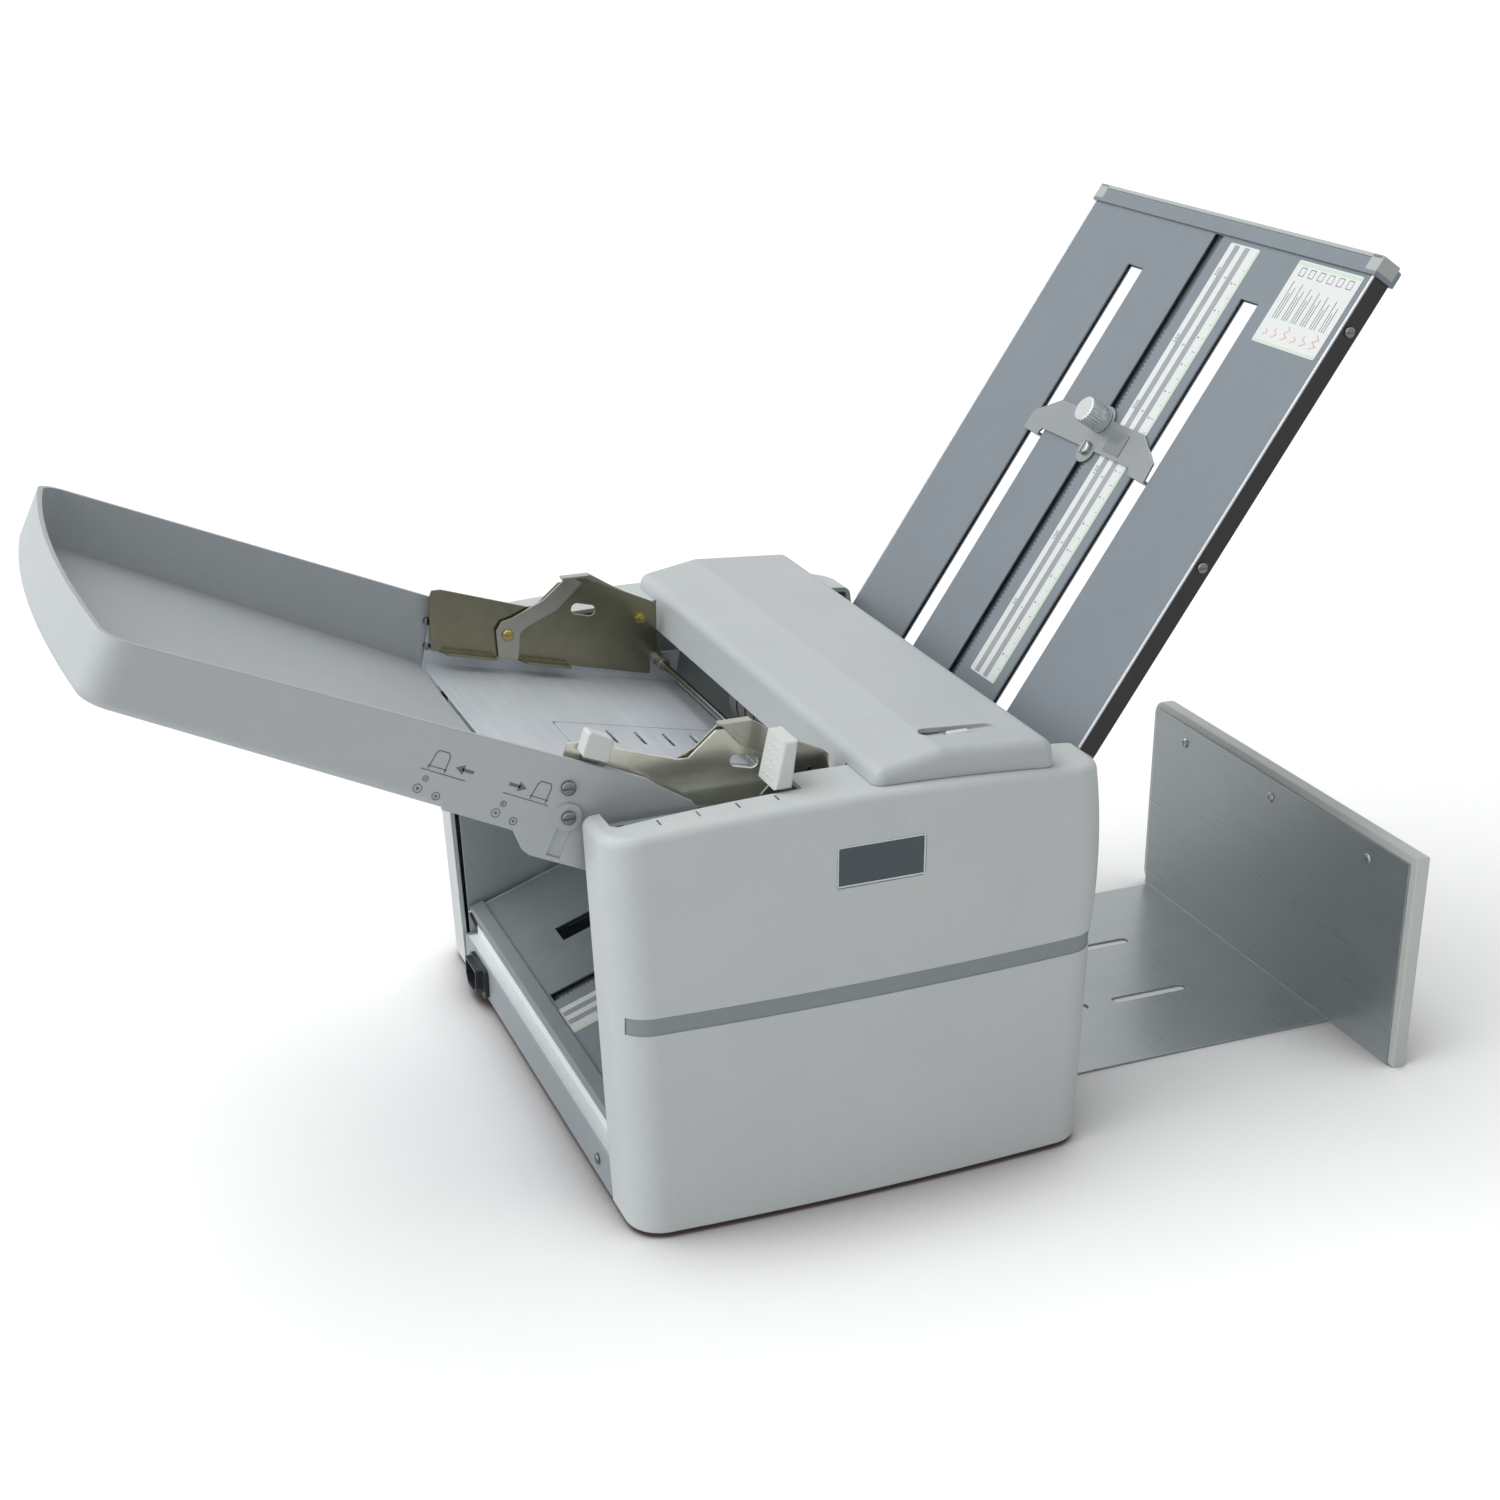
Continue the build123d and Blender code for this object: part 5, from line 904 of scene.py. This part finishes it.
@dataclass
class Covers(SubAssembly):
    """Side covers with their stripe, the bare badge and the lever's position marks."""

    finishes = {
        "side_cover_near": Finish.COVER, "side_cover_far": Finish.COVER,
        "accent_strips": Finish.STRIPE, "badge_plate": Finish.BADGE,
    }
    mark_xs: tuple[float, ...] = (-111.5, -88.0, -64.0, -40.3)
    mark_y: Point = (-199.5, -192.5)
    mark_w: float = 1.3
    mark_lifts: Point = (-0.1, 0.12)
    mark_steps: int = 4
    rim_w: float = 1.1
    rim_z: Point = (-0.3, 0.35)
    rim_round: float = 0.15

    def build(self) -> None:
        """Add the position marks and the badge's bright rim."""
        marks = Shape("lever_position_marks", Matrix.Identity(4))
        start, end = self.mark_y
        steps = self.mark_steps
        stations = [start + (end - start) * step / steps for step in range(steps + 1)]
        for mark_x in self.mark_xs:
            for ends in zip(stations, stations[1:]):
                self.build_length(marks, mark_x, ends)
        marks.place(Finish.INK)
        self.build_rim()

    def build_length(self, marks: Shape, mark_x: float, ends: Point) -> None:
        """Add a short length of a mark, which follows the cover's top.

        Args:
            marks: The shape that takes it.
            mark_x: The mark's middle along the machine.
            ends: Where the length starts and ends across the machine.
        """
        half = self.mark_w / 2
        rings = []
        for lift in self.mark_lifts:
            levels = [drop_on("side_cover_near", mark_x, end) + lift for end in ends]
            rings.append([
                marks.mesh.verts.new((mark_x + x, ends[n], levels[n]))
                for x, n in ((-half, 0), (half, 0), (half, 1), (-half, 1))
            ])
        marks.wrap(*rings)

    def build_rim(self) -> None:
        """Frame the bare badge with its bright rim."""
        low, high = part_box("badge_plate")
        left, right, bottom, top = low[0] / MM, high[0] / MM, low[2] / MM, high[2] / MM
        rim = Shape("badge_rim", working_plane(0, low[1] / MM, 0, upright=True))
        width = self.rim_w
        for x, y in (
            ((left, right), (bottom, bottom + width)), ((left, right), (top - width, top)),
            ((left, left + width), (bottom + width, top - width)),
            ((right - width, right), (bottom + width, top - width)),
        ):
            rim.slab(x, y, self.rim_z)
        rim.place(Finish.BEND, bevel=self.rim_round)


@dataclass
class HoodGroup(SubAssembly):
    """Hood over the rollers with its latch."""

    finishes = {"hood": Finish.HOOD, "hood_latch": Finish.LATCH}


@dataclass(frozen=True)
class LeverSign:
    """One generic sign by the cassette lever: a block on a line, over three rollers."""

    left: float
    base: Point
    rings: tuple[Triple, ...]
    outline: tuple[Point, ...] = (
        (0.0, 20.5), (1.2, 30.0), (2.6, 32.2), (8.4, 32.2), (9.8, 30.0), (9.8, 20.5),
    )
    shelf: Point = (-1.0, 10.8)
    shelf_up: float = 22.4
    base_up: float = 19.6


@dataclass
class FeedGroup(SubAssembly):
    """Feed tray and table, lift plate and separator, with the signs on the wall."""

    finishes = {
        "feed_tray": Finish.TRAY, "feed_table": Finish.TABLE, "lift_plate": Finish.TABLE,
        "guide_bar": Finish.GROUND, "separator_holder": Finish.CHASSIS, "separator_pad": Finish.PAD,
        "cassette_lever": Finish.STRIP, "cassette_lever_cap": Finish.LEVER,
    }
    wall: tuple[float, ...] = (-410.5, -160.0, 362.6, -25.5)
    ink: Point = (-0.05, 0.10)
    signs: tuple[LeverSign, ...] = (
        LeverSign(188.0, (-4.0, 23.0), ((1.0, 14.6, 1.6), (-1.2, 8.0, 2.5), (10.5, 6.6, 2.2))),
        LeverSign(251.0, (-16.5, 12.0), ((-13.5, 13.4, 1.6), (-15.7, 7.0, 2.5), (-4.0, 5.2, 2.2))),
    )
    outline_w: float = 0.7
    line_w: float = 0.6
    ring_w: float = 0.55
    ring_sides: int = 16
    dot_share: float = 0.42
    arrows: tuple[Point, ...] = ((214.0, 203.0), (236.0, 247.0))
    arrow_up: float = 25.5
    arrow_w: float = 2.0
    barb: Point = (5.0, 3.0)
    neck: float = 4.0

    def build(self) -> None:
        """Add the generic signs beside the cassette lever."""
        signs = Shape("cassette_lever_signs", working_plane(*self.wall, upright=True))
        for sign in self.signs:
            self.build_sign(signs, sign)
        for tail, head in self.arrows:
            self.build_arrow(signs, tail, head)
        signs.place(Finish.INK)

    def build_sign(self, signs: Shape, sign: LeverSign) -> None:
        """Draw one sign's block, lines and rollers on the wall.

        Args:
            signs: The shape that takes it.
            sign: The sign.
        """
        left = sign.left
        signs.stroke([(left + x, y) for x, y in sign.outline], self.outline_w, self.ink)
        for ends, height in ((sign.shelf, sign.shelf_up), (sign.base, sign.base_up)):
            signs.stroke([(left + end, height) for end in ends], self.line_w, self.ink)
        turn = 2 * math.pi / self.ring_sides
        for along, height, radius in sign.rings:
            centre = (left + along, height)
            circle = [around(centre, radius, turn * n) for n in range(self.ring_sides + 1)]
            signs.stroke(circle, self.ring_w, self.ink)
            signs.disc(centre, radius * self.dot_share, self.ink)

    def build_arrow(self, signs: Shape, tail: float, head: float) -> None:
        """Draw a small arrow along the wall.

        Args:
            signs: The shape that takes it.
            tail: Where it starts along the wall.
            head: Where its tip is.
        """
        forward = math.copysign(1.0, head - tail)
        long, half = self.barb
        height, barb = self.arrow_up, head - forward * long
        neck = (head - forward * self.neck, height)
        signs.stroke([(tail, height), neck], self.arrow_w, self.ink)
        signs.prism([(head, height), (barb, height + half), (barb, height - half)], self.ink)


@dataclass
class GuideGroup(SubAssembly):
    """Sliding side guides with their strips and brass screws."""

    # The two guides take a lit and a shaded colour of one steel: painted light and painted shade.
    finishes = {
        "side_guide_near": Finish.GUIDE_NEAR, "side_guide_far": Finish.GUIDE_FAR,
        "guide_strip_near": Finish.STRIP, "guide_strip_far": Finish.STRIP,
        "guide_screws_near": Finish.BRASS, "guide_screws_far": Finish.BRASS,
    }


@dataclass(frozen=True)
class ScaleLabel:
    """White scale strip beside a plate's rack slot."""

    start: float
    end: float
    low_y: float = -49.0
    high_y: float = -15.5
    corner: float = 1.5
    inset: float = 1.0
    film: Point = (-0.05, 0.18)
    ink: Point = (0.05, 0.24)
    stripes: tuple[Point, ...] = ((-26.8, -21.2), (-38.2, -32.6))
    edging: Point = (0.3, 2.6)
    pitch: float = 10.0
    spare: float = 6.0
    tick_half: float = 0.2
    tick_up: float = 3.2
    tick_tops: Point = (4.8, 6.5)
    dot_r: float = 0.75
    dot_up: float = 8.6
    figure_shift: float = 1.5
    figure_down: float = 5.4
    figure_size: float = 4.6
    count_y: float = -31.6
    count_size: float = 3.8

    def build(self, plate: "FoldPlate") -> None:
        """Lay the label on a plate.

        Args:
            plate: The plate.
        """
        whole = ((self.start, self.end), (self.low_y, self.high_y), self.film, self.corner)
        printed = (self.start + self.inset, self.end - self.inset)
        plate.lay("scale_film", Finish.FILM, [whole])
        plate.lay("scale_stripes", Finish.RULE, [(printed, band, self.ink) for band in self.stripes])
        plate.lay("scale_edge", Finish.ACCENT, [(printed, moved(self.edging, self.low_y), self.ink)])
        marks = plate.shape("scale_marks")
        for index in range(1, int((self.end - self.start - self.spare) // self.pitch)):
            self.build_mark(marks, index)
        marks.place(Finish.INK)

    def build_mark(self, marks: Shape, index: int) -> None:
        """Add a tick, with a dot at every second and figures at every fifth.

        Args:
            marks: The shape that takes it.
            index: The tick's number from the start.
        """
        along = self.start + index * self.pitch
        fifth = index % 5 == 0
        ends = moved((self.tick_up, self.tick_tops[fifth]), self.low_y)
        marks.slab(beside(along, self.tick_half), ends, self.ink)
        if index % 2 == 0:
            marks.disc((along, self.low_y + self.dot_up), self.dot_r, self.ink)
        if fifth:
            left, line_y = along + self.figure_shift, self.high_y - self.figure_down
            marks.figures(str(index * 10), (left, line_y), self.figure_size, self.ink)
            marks.figures(str(index // 5), (left, self.count_y), self.count_size, self.ink)


@dataclass(frozen=True)
class FoldChart:
    """Generic fold chart: rows of short lines, each with a small sheet and its folds."""

    x: Point = (270.5, 328.0)
    y: Point = (-158.0, -92.0)
    corner: float = 1.5
    film: Point = (-0.05, 0.22)
    ink: Point = (0.05, 0.3)
    edges: tuple[Point, ...] = ((271.0, 272.4), (325.0, 327.0))
    edge_y: Point = (-157.0, -93.0)
    rows: int = 6
    first_row: float = -98.5
    row_pitch: float = 9.8
    lines: Triple = (26.0, 18.0, 22.0)
    line_x: float = 288.0
    line_pitch: float = 2.3
    line_half: float = 0.3
    sheet_x: Point = (318.0, 323.5)
    sheet_y: float = 5.0
    sheet_w: float = 0.5
    fold_x: float = 276.0
    fold_pitch: float = 2.4
    fold_deep: float = 3.5
    fold_grows: float = 0.3
    fold_tail: float = 1.0
    fold_w: float = 0.6

    def build(self, plate: "FoldPlate") -> None:
        """Lay the chart on a plate.

        Args:
            plate: The plate.
        """
        plate.lay("chart_film", Finish.FILM, [(self.x, self.y, self.film, self.corner)])
        plate.lay("chart_edge", Finish.ACCENT, [(edge, self.edge_y, self.ink) for edge in self.edges])
        rows = plate.shape("chart_rows")
        folds = plate.shape("chart_folds")
        for row in range(self.rows):
            self.build_row(rows, folds, row)
        rows.place(Finish.INK)
        folds.place(Finish.FOLD_MARK)

    def build_row(self, rows: Shape, folds: Shape, row: int) -> None:
        """Draw one row's lines, its sheet and its folds.

        Args:
            rows: The shape that takes the lines and the sheet.
            folds: The shape that takes the folds.
            row: The row's number from the top.
        """
        top = self.first_row - row * self.row_pitch
        for line, length in enumerate(self.lines):
            sides = beside(top - line * self.line_pitch, self.line_half)
            rows.slab((self.line_x, self.line_x + length - row), sides, self.ink)
        (left, right), bottom = self.sheet_x, top - self.sheet_y
        sheet = [(left, top), (right, top), (right, bottom), (left, bottom), (left, top)]
        rows.stroke(sheet, self.sheet_w, self.ink)
        deep = self.fold_deep + row * self.fold_grows
        zigzag = [(self.fold_x + n * self.fold_pitch, top - (n % 2) * deep) for n in range(2 + row % 3)]
        zigzag.append((zigzag[-1][0] + self.fold_pitch, top - self.fold_tail))
        folds.stroke(zigzag, self.fold_w, self.ink)


@dataclass
class FoldPlate(SubAssembly):
    """One fold plate: scale, fold chart, painted shade on its sides, a painted highlight on its bends, end
    strip and stopper's window.
    """

    name: str = "upper"
    x: float = 175.1
    z: float = 254.3
    tilt: float = 56.4
    half_w: float = 164.0
    depth: float = 14.0
    span: Point = (-2.0, 341.0)
    label: ScaleLabel = ScaleLabel(1.0, 327.0)
    chart: FoldChart | None = FoldChart()
    end_strip: bool = True
    end_reach: float = 2.2
    end_lap: float = 0.1
    end_w: float = 2.4
    end_over: float = 1.0
    end_z: Point = (-2.0, 1.75)
    end_round: float = 0.4
    corner_along: float = 10.5
    corner_in: float = 9.0
    corner_out: float = 2.1
    corner_up: float = 1.0
    corner_r: float = 1.2
    stop: float = 161.0
    bar_top: float = 1.8
    window_x: Point = (8.0, 24.0)
    window_y: Point = (-36.0, -16.0)
    window_z: Point = (-0.1, 0.5)
    window_r: float = 1.0
    window_round: float = 0.15
    shade_band_y: Point = (0.2, 0.25)
    shade_band_up: float = 0.2
    shade_band_top: float = -1.6
    highlight_y: Point = (1.4, 0.2)
    highlight_z: Point = (-1.5, 0.15)
    highlight_round: float = 0.5

    def looks(self) -> dict[str, Finish]:
        """Choose a finish for each of this plate's nodes.

        Returns:
            The finishes by node.
        """
        face = Finish.UPPER_FACE if self.name == "upper" else Finish.LOWER_FACE
        return {
            self.name + "_plate_face": face, self.name + "_plate_back": Finish.PLATE_BACK,
            self.name + "_plate_cap": face, self.name + "_stopper_bar": Finish.STOP_BAR,
            self.name + "_stopper_clamp": Finish.SMALL_SCREW, self.name + "_stopper_knob": Finish.KNOB,
        }

    def shape(self, suffix: str) -> Shape:
        """Start a piece on this plate's face."""
        return Shape(f"{self.name}_{suffix}", working_plane(self.x, 0, self.z, self.tilt))

    def lay(
        self, suffix: str, finish: Finish, blocks: Iterable[Block],
        body: str = "machine", bevel: float = 0.0,
    ) -> None:
        """Place a piece made of flat blocks on this plate.

        Args:
            suffix: What follows the plate's name in the piece's name.
            finish: Its finish.
            blocks: Each block's ends along X, ends along Y, heights and corner radius.
            body: The CAD body that it rides on.
            bevel: Width of a bevel on its sharp edges.
        """
        piece = self.shape(suffix)
        for block in blocks:
            piece.slab(*block)
        piece.place(finish, body, bevel)

    def build(self) -> None:
        """Add the scale, the stopper's window, the painted shade and highlight on the sides, the end strip
        and the chart.
        """
        self.label.build(self)
        along, heights = moved(self.window_x, self.stop), moved(self.window_z, self.bar_top)
        window = (along, self.window_y, heights, self.window_r)
        self.lay("stopper_window", Finish.WINDOW, [window], self.name + "_stop", self.window_round)
        self.build_sides()
        if self.end_strip:
            self.build_end()
        if self.chart:
            self.chart.build(self)

    def build_sides(self) -> None:
        """Cover the folded sides with a dark band of painted shade and lay a painted highlight along the
        bend above it.
        """
        shade_band_z = (-self.depth + self.shade_band_up, self.shade_band_top)
        for side, label in ((-1, "near"), (1, "far")):
            edge = side * self.half_w
            # Painted shade on each side, painted highlight along each bend.
            for kind, finish, (inside, outside), heights, bevel in (
                ("side", Finish.PLATE_SIDE, self.shade_band_y, shade_band_z, 0.0),
                ("bend", Finish.BEND, self.highlight_y, self.highlight_z, self.highlight_round),
            ):
                across = ordered(edge - side * inside, edge + side * outside)
                self.lay(f"plate_{kind}_{label}", finish, [(self.span, across, heights)], bevel=bevel)

    def build_end(self) -> None:
        """Add the pale strip and corners at the plate's free end."""
        top = self.span[1] + self.end_reach
        lap = top + self.end_lap
        whole = beside(0.0, self.half_w + self.end_over)
        blocks: list[Block] = [((top - self.end_w, lap), whole, self.end_z)]
        heights = (-self.depth + self.corner_up, self.end_z[1])
        for side in (-1, 1):
            across = ordered(side * (self.half_w - self.corner_in), side * (self.half_w + self.corner_out))
            blocks.append(((top - self.corner_along, lap), across, heights, self.corner_r))
        self.lay("plate_end", Finish.END_CAP, blocks, bevel=self.end_round)


@dataclass
class StackerGroup(SubAssembly):
    """Stacker tray with its end plate."""

    finishes = {
        "stacker_tray": Finish.STACKER, "stacker_panel": Finish.PANEL, "stacker_screws": Finish.SMALL_SCREW,
    }


@dataclass
class LeverGroup(SubAssembly):
    """Operating lever with its dotted grip."""

    finishes = {
        "operating_lever": Finish.STRIP, "operating_lever_cap": Finish.LEVER,
    }
    low_x: float = -39.5
    near_y: float = -191.2
    low_z: float = 268.3
    lean: float = 12.2
    dot_r: float = 1.15
    dot_base: float = -0.3
    dot_rise: float = 0.75
    rows: int = 5
    columns: int = 3
    first_dot: Point = (-19.5, 5.0)
    pitch: Point = (6.0, 4.6)
    stagger: float = 1.5

    def build(self) -> None:
        """Add the dots on the leaning face of the grip."""
        cosine, sine = math.cos(math.radians(self.lean)), math.sin(math.radians(self.lean))
        dots = Shape("lever_grip_dots", Matrix((
            (0, sine, -cosine, self.low_x), (-1, 0, 0, self.near_y),
            (0, cosine, sine, self.low_z), (0, 0, 0, 1),
        )))
        (start_x, start_y), (step_x, step_y) = self.first_dot, self.pitch
        for row in range(self.rows):
            for column in range(self.columns):
                centre = (start_x + column * step_x + (row % 2) * self.stagger, start_y + row * step_y)
                dots.dome(centre, self.dot_r, self.dot_base, self.dot_rise)
        dots.place(Finish.LEVER, "lever")


@dataclass
class Chassis(SubAssembly):
    """Frames, base pan, feet, inlet, exit panel and motor."""

    finishes = {
        "side_frame_near": Finish.CHASSIS, "side_frame_far": Finish.CHASSIS, "base_pan": Finish.PAN,
        "rubber_feet": Finish.RUBBER, "power_inlet": Finish.INLET, "exit_panel": Finish.EXIT,
        "body_fasteners": Finish.SCREW, "drive_motor": Finish.MOTOR, "drive_belt": Finish.RUBBER,
        "shaft_bearings": Finish.GEAR,
    }
    lip_x: Point = (1.0, 9.6)
    lip_half: float = 160.0
    lip_z: Point = (-0.1, 0.3)
    riser_x: Point = (8.0, 9.0)
    riser_z: Point = (0.2, 7.4)

    def build(self) -> None:
        """Add the pale strip on the base pan's left lip and the riser that closes it to the plate. Its pale
        colour is partly the lip's own light paint and partly painted light that lifts the shade under the
        tray.
        """
        low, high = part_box("base_pan")
        left, top = low[0] / MM, high[2] / MM
        # Painted light in part: this pale strip lifts the shaded lip above the pan's own colour.
        strip = Shape("pan_lip_strip", Matrix.Translation((0.0, 0.0, top)))
        for along, heights in ((self.lip_x, self.lip_z), (self.riser_x, self.riser_z)):
            strip.slab(moved(along, left), beside(0.0, self.lip_half), heights)
        strip.place(Finish.LIP)


@dataclass
class RollerTrain(SubAssembly):
    """Fold rollers, feed roller and their gears."""

    rollers: tuple[int, ...] = (1, 2, 3, 4)

    def looks(self) -> dict[str, Finish]:
        """Choose a finish for each roller, gear and shaft.

        Returns:
            The finishes by node.
        """
        finishes = {
            "feed_shaft": Finish.GROUND, "feed_roller": Finish.TYRE, "feed_gear": Finish.GEAR,
            "idler_gear": Finish.GEAR, "motor_pulley": Finish.GROUND,
        }
        for number in self.rollers:
            finishes[f"fold_roller_{number}"] = Finish.GROUND
            finishes[f"roller_gear_{number}"] = Finish.GEAR
        return finishes


# ---- studio
@dataclass(frozen=True)
class Sun:
    """A wide soft sun, which lights near and far floor alike."""

    name: str
    source: Triple
    power: float
    spread: float

    def build(self) -> None:
        """Add the lamp."""
        data = bpy.data.lights.new(self.name, type="SUN")
        data.energy = self.power
        data.angle = math.radians(self.spread)
        lamp = bpy.data.objects.new(self.name, data)
        lamp.rotation_euler = Vector(self.source).to_track_quat("Z", "Y").to_euler()
        lamp.location = self.source
        bpy.context.scene.collection.objects.link(lamp)


@dataclass
class Studio:
    """Camera, pale floor and soft light."""

    camera_place: Triple = (-0.49783, -1.28752, 0.77135)
    camera_turn: Triple = (68.09966, -0.02602, -21.99538)
    lens: float = 54.38
    sensor: float = 36.0
    camera_sees: float = 100.0
    sky: float = 0.41
    sky_colour: Colour = (0.97, 0.985, 1.0, 1.0)
    backdrop: Colour = (0.985, 0.985, 0.985, 1.0)
    floor_half: float = 14.0
    floor_colour: Colour = (0.86, 0.86, 0.86, 1.0)
    floor_glow: float = 0.13
    # Reach, span and colour of the painted contact shadow, a darkening that ambient occlusion paints into
    # the floor colour near the machine.
    painted_shadow_reach: float = 0.13
    painted_shadow_span: Point = (0.2, 0.92)
    painted_shadow_colour: Colour = srgb(92, 78, 78)
    unshadowed_colour: Colour = (1.0, 1.0, 1.0, 1.0)
    suns: tuple[Sun, ...] = (
        Sun("high_sun", (-0.45, 0.30, 1.0), 1.45, 50.0), Sun("left_sun", (-1.0, -0.05, 0.42), 1.15, 60.0),
    )

    def build(self) -> None:
        """Set up the whole studio."""
        bpy.context.scene.view_settings.view_transform = "Standard"
        self.build_camera()
        self.build_world()
        self.build_floor()
        for sun in self.suns:
            sun.build()

    def build_camera(self) -> None:
        """Add the camera where the photograph was taken from."""
        data = bpy.data.cameras.new("camera")
        data.lens = self.lens
        data.sensor_width = self.sensor
        data.clip_end = self.camera_sees
        camera = bpy.data.objects.new("camera", data)
        camera.location = self.camera_place
        camera.rotation_euler = [math.radians(angle) for angle in self.camera_turn]
        bpy.context.scene.collection.objects.link(camera)
        bpy.context.scene.camera = camera

    def build_world(self) -> None:
        """Make a pale sky that shows white behind the machine."""
        world = bpy.data.worlds.new("sky")
        graph = emptied(world)
        path = graph.add("ShaderNodeLightPath").outputs
        direct = graph.math("MAXIMUM", path["Is Camera Ray"], path["Is Transmission Ray"])
        seen = graph.math("MAXIMUM", direct, path["Is Glossy Ray"])
        soft = graph.add("ShaderNodeBackground", {"Color": self.sky_colour, "Strength": self.sky})
        white = graph.add("ShaderNodeBackground", {"Color": self.backdrop, "Strength": 1.0})
        mixed = graph.add("ShaderNodeMixShader", {0: seen, 1: soft.outputs[0], 2: white.outputs[0]})
        graph.add("ShaderNodeOutputWorld", {"Surface": mixed.outputs[0]})
        bpy.context.scene.world = world

    def build_floor(self) -> None:
        """Lay the pale floor, which keeps the machine's shadow. Where the camera sees it, ambient occlusion
        also lays a painted contact shadow in its colour.
        """
        mesh = bmesh.new()
        half = self.floor_half
        corners = ((-half, -half), (half, -half), (half, half), (-half, half))
        mesh.faces.new([mesh.verts.new((x, y, 0.0)) for x, y in corners])
        data = bpy.data.meshes.new("floor")
        mesh.to_mesh(data)
        mesh.free()
        material = bpy.data.materials.new("pale_floor")
        graph = emptied(material)
        path = graph.add("ShaderNodeLightPath").outputs
        plain = graph.add("ShaderNodeBsdfDiffuse", {"Color": self.floor_colour})
        # Painted shadow: ambient occlusion darkens the floor colour that the camera sees near the machine,
        # and the glow carries the same darkening.
        occlusion = graph.add("ShaderNodeAmbientOcclusion", {"Distance": self.painted_shadow_reach}, samples=16)
        unshadowed_share = graph.span(occlusion.outputs["AO"], *self.painted_shadow_span)
        painted_shadow_tint = graph.mix(unshadowed_share, self.painted_shadow_colour, self.unshadowed_colour)
        bright = graph.add("ShaderNodeBsdfDiffuse", {"Color": painted_shadow_tint})
        glow = graph.add("ShaderNodeEmission", {"Color": painted_shadow_tint, "Strength": self.floor_glow})
        lifted = graph.add("ShaderNodeAddShader", {0: bright.outputs[0], 1: glow.outputs[0]})
        mixed = graph.add(
            "ShaderNodeMixShader", {0: path["Is Camera Ray"], 1: plain.outputs[0], 2: lifted.outputs[0]},
        )
        graph.add("ShaderNodeOutputMaterial", {"Surface": mixed.outputs[0]})
        data.materials.append(material)
        floor = bpy.data.objects.new("floor", data)
        bpy.context.scene.collection.objects.link(floor)


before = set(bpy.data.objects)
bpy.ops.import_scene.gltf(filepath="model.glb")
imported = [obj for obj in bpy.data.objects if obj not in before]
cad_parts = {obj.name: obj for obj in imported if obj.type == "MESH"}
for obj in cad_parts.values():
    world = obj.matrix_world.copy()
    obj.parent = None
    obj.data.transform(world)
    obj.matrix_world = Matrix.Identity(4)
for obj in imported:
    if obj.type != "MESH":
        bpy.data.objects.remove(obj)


def main() -> None:
    """Build the studio and the looks of every sub-assembly."""
    logging.basicConfig(level=logging.INFO, format="%(message)s")
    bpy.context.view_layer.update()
    Studio().build()
    groups = (
        Covers(), HoodGroup(), FeedGroup(), GuideGroup(), FoldPlate(),
        FoldPlate(
            name="lower", x=-131.0, z=51.5, tilt=20.0, label=ScaleLabel(12.0, 214.0), chart=None,
            stop=120.0, half_w=160.0, span=(-2.0, 230.0), end_strip=False,
        ),
        StackerGroup(), LeverGroup(), Chassis(), RollerTrain(),
    )
    for group in groups:
        group.dress()
        group.build()
        LOG.info("group %s done", type(group).__name__)


if __name__ == "__main__":
    main()
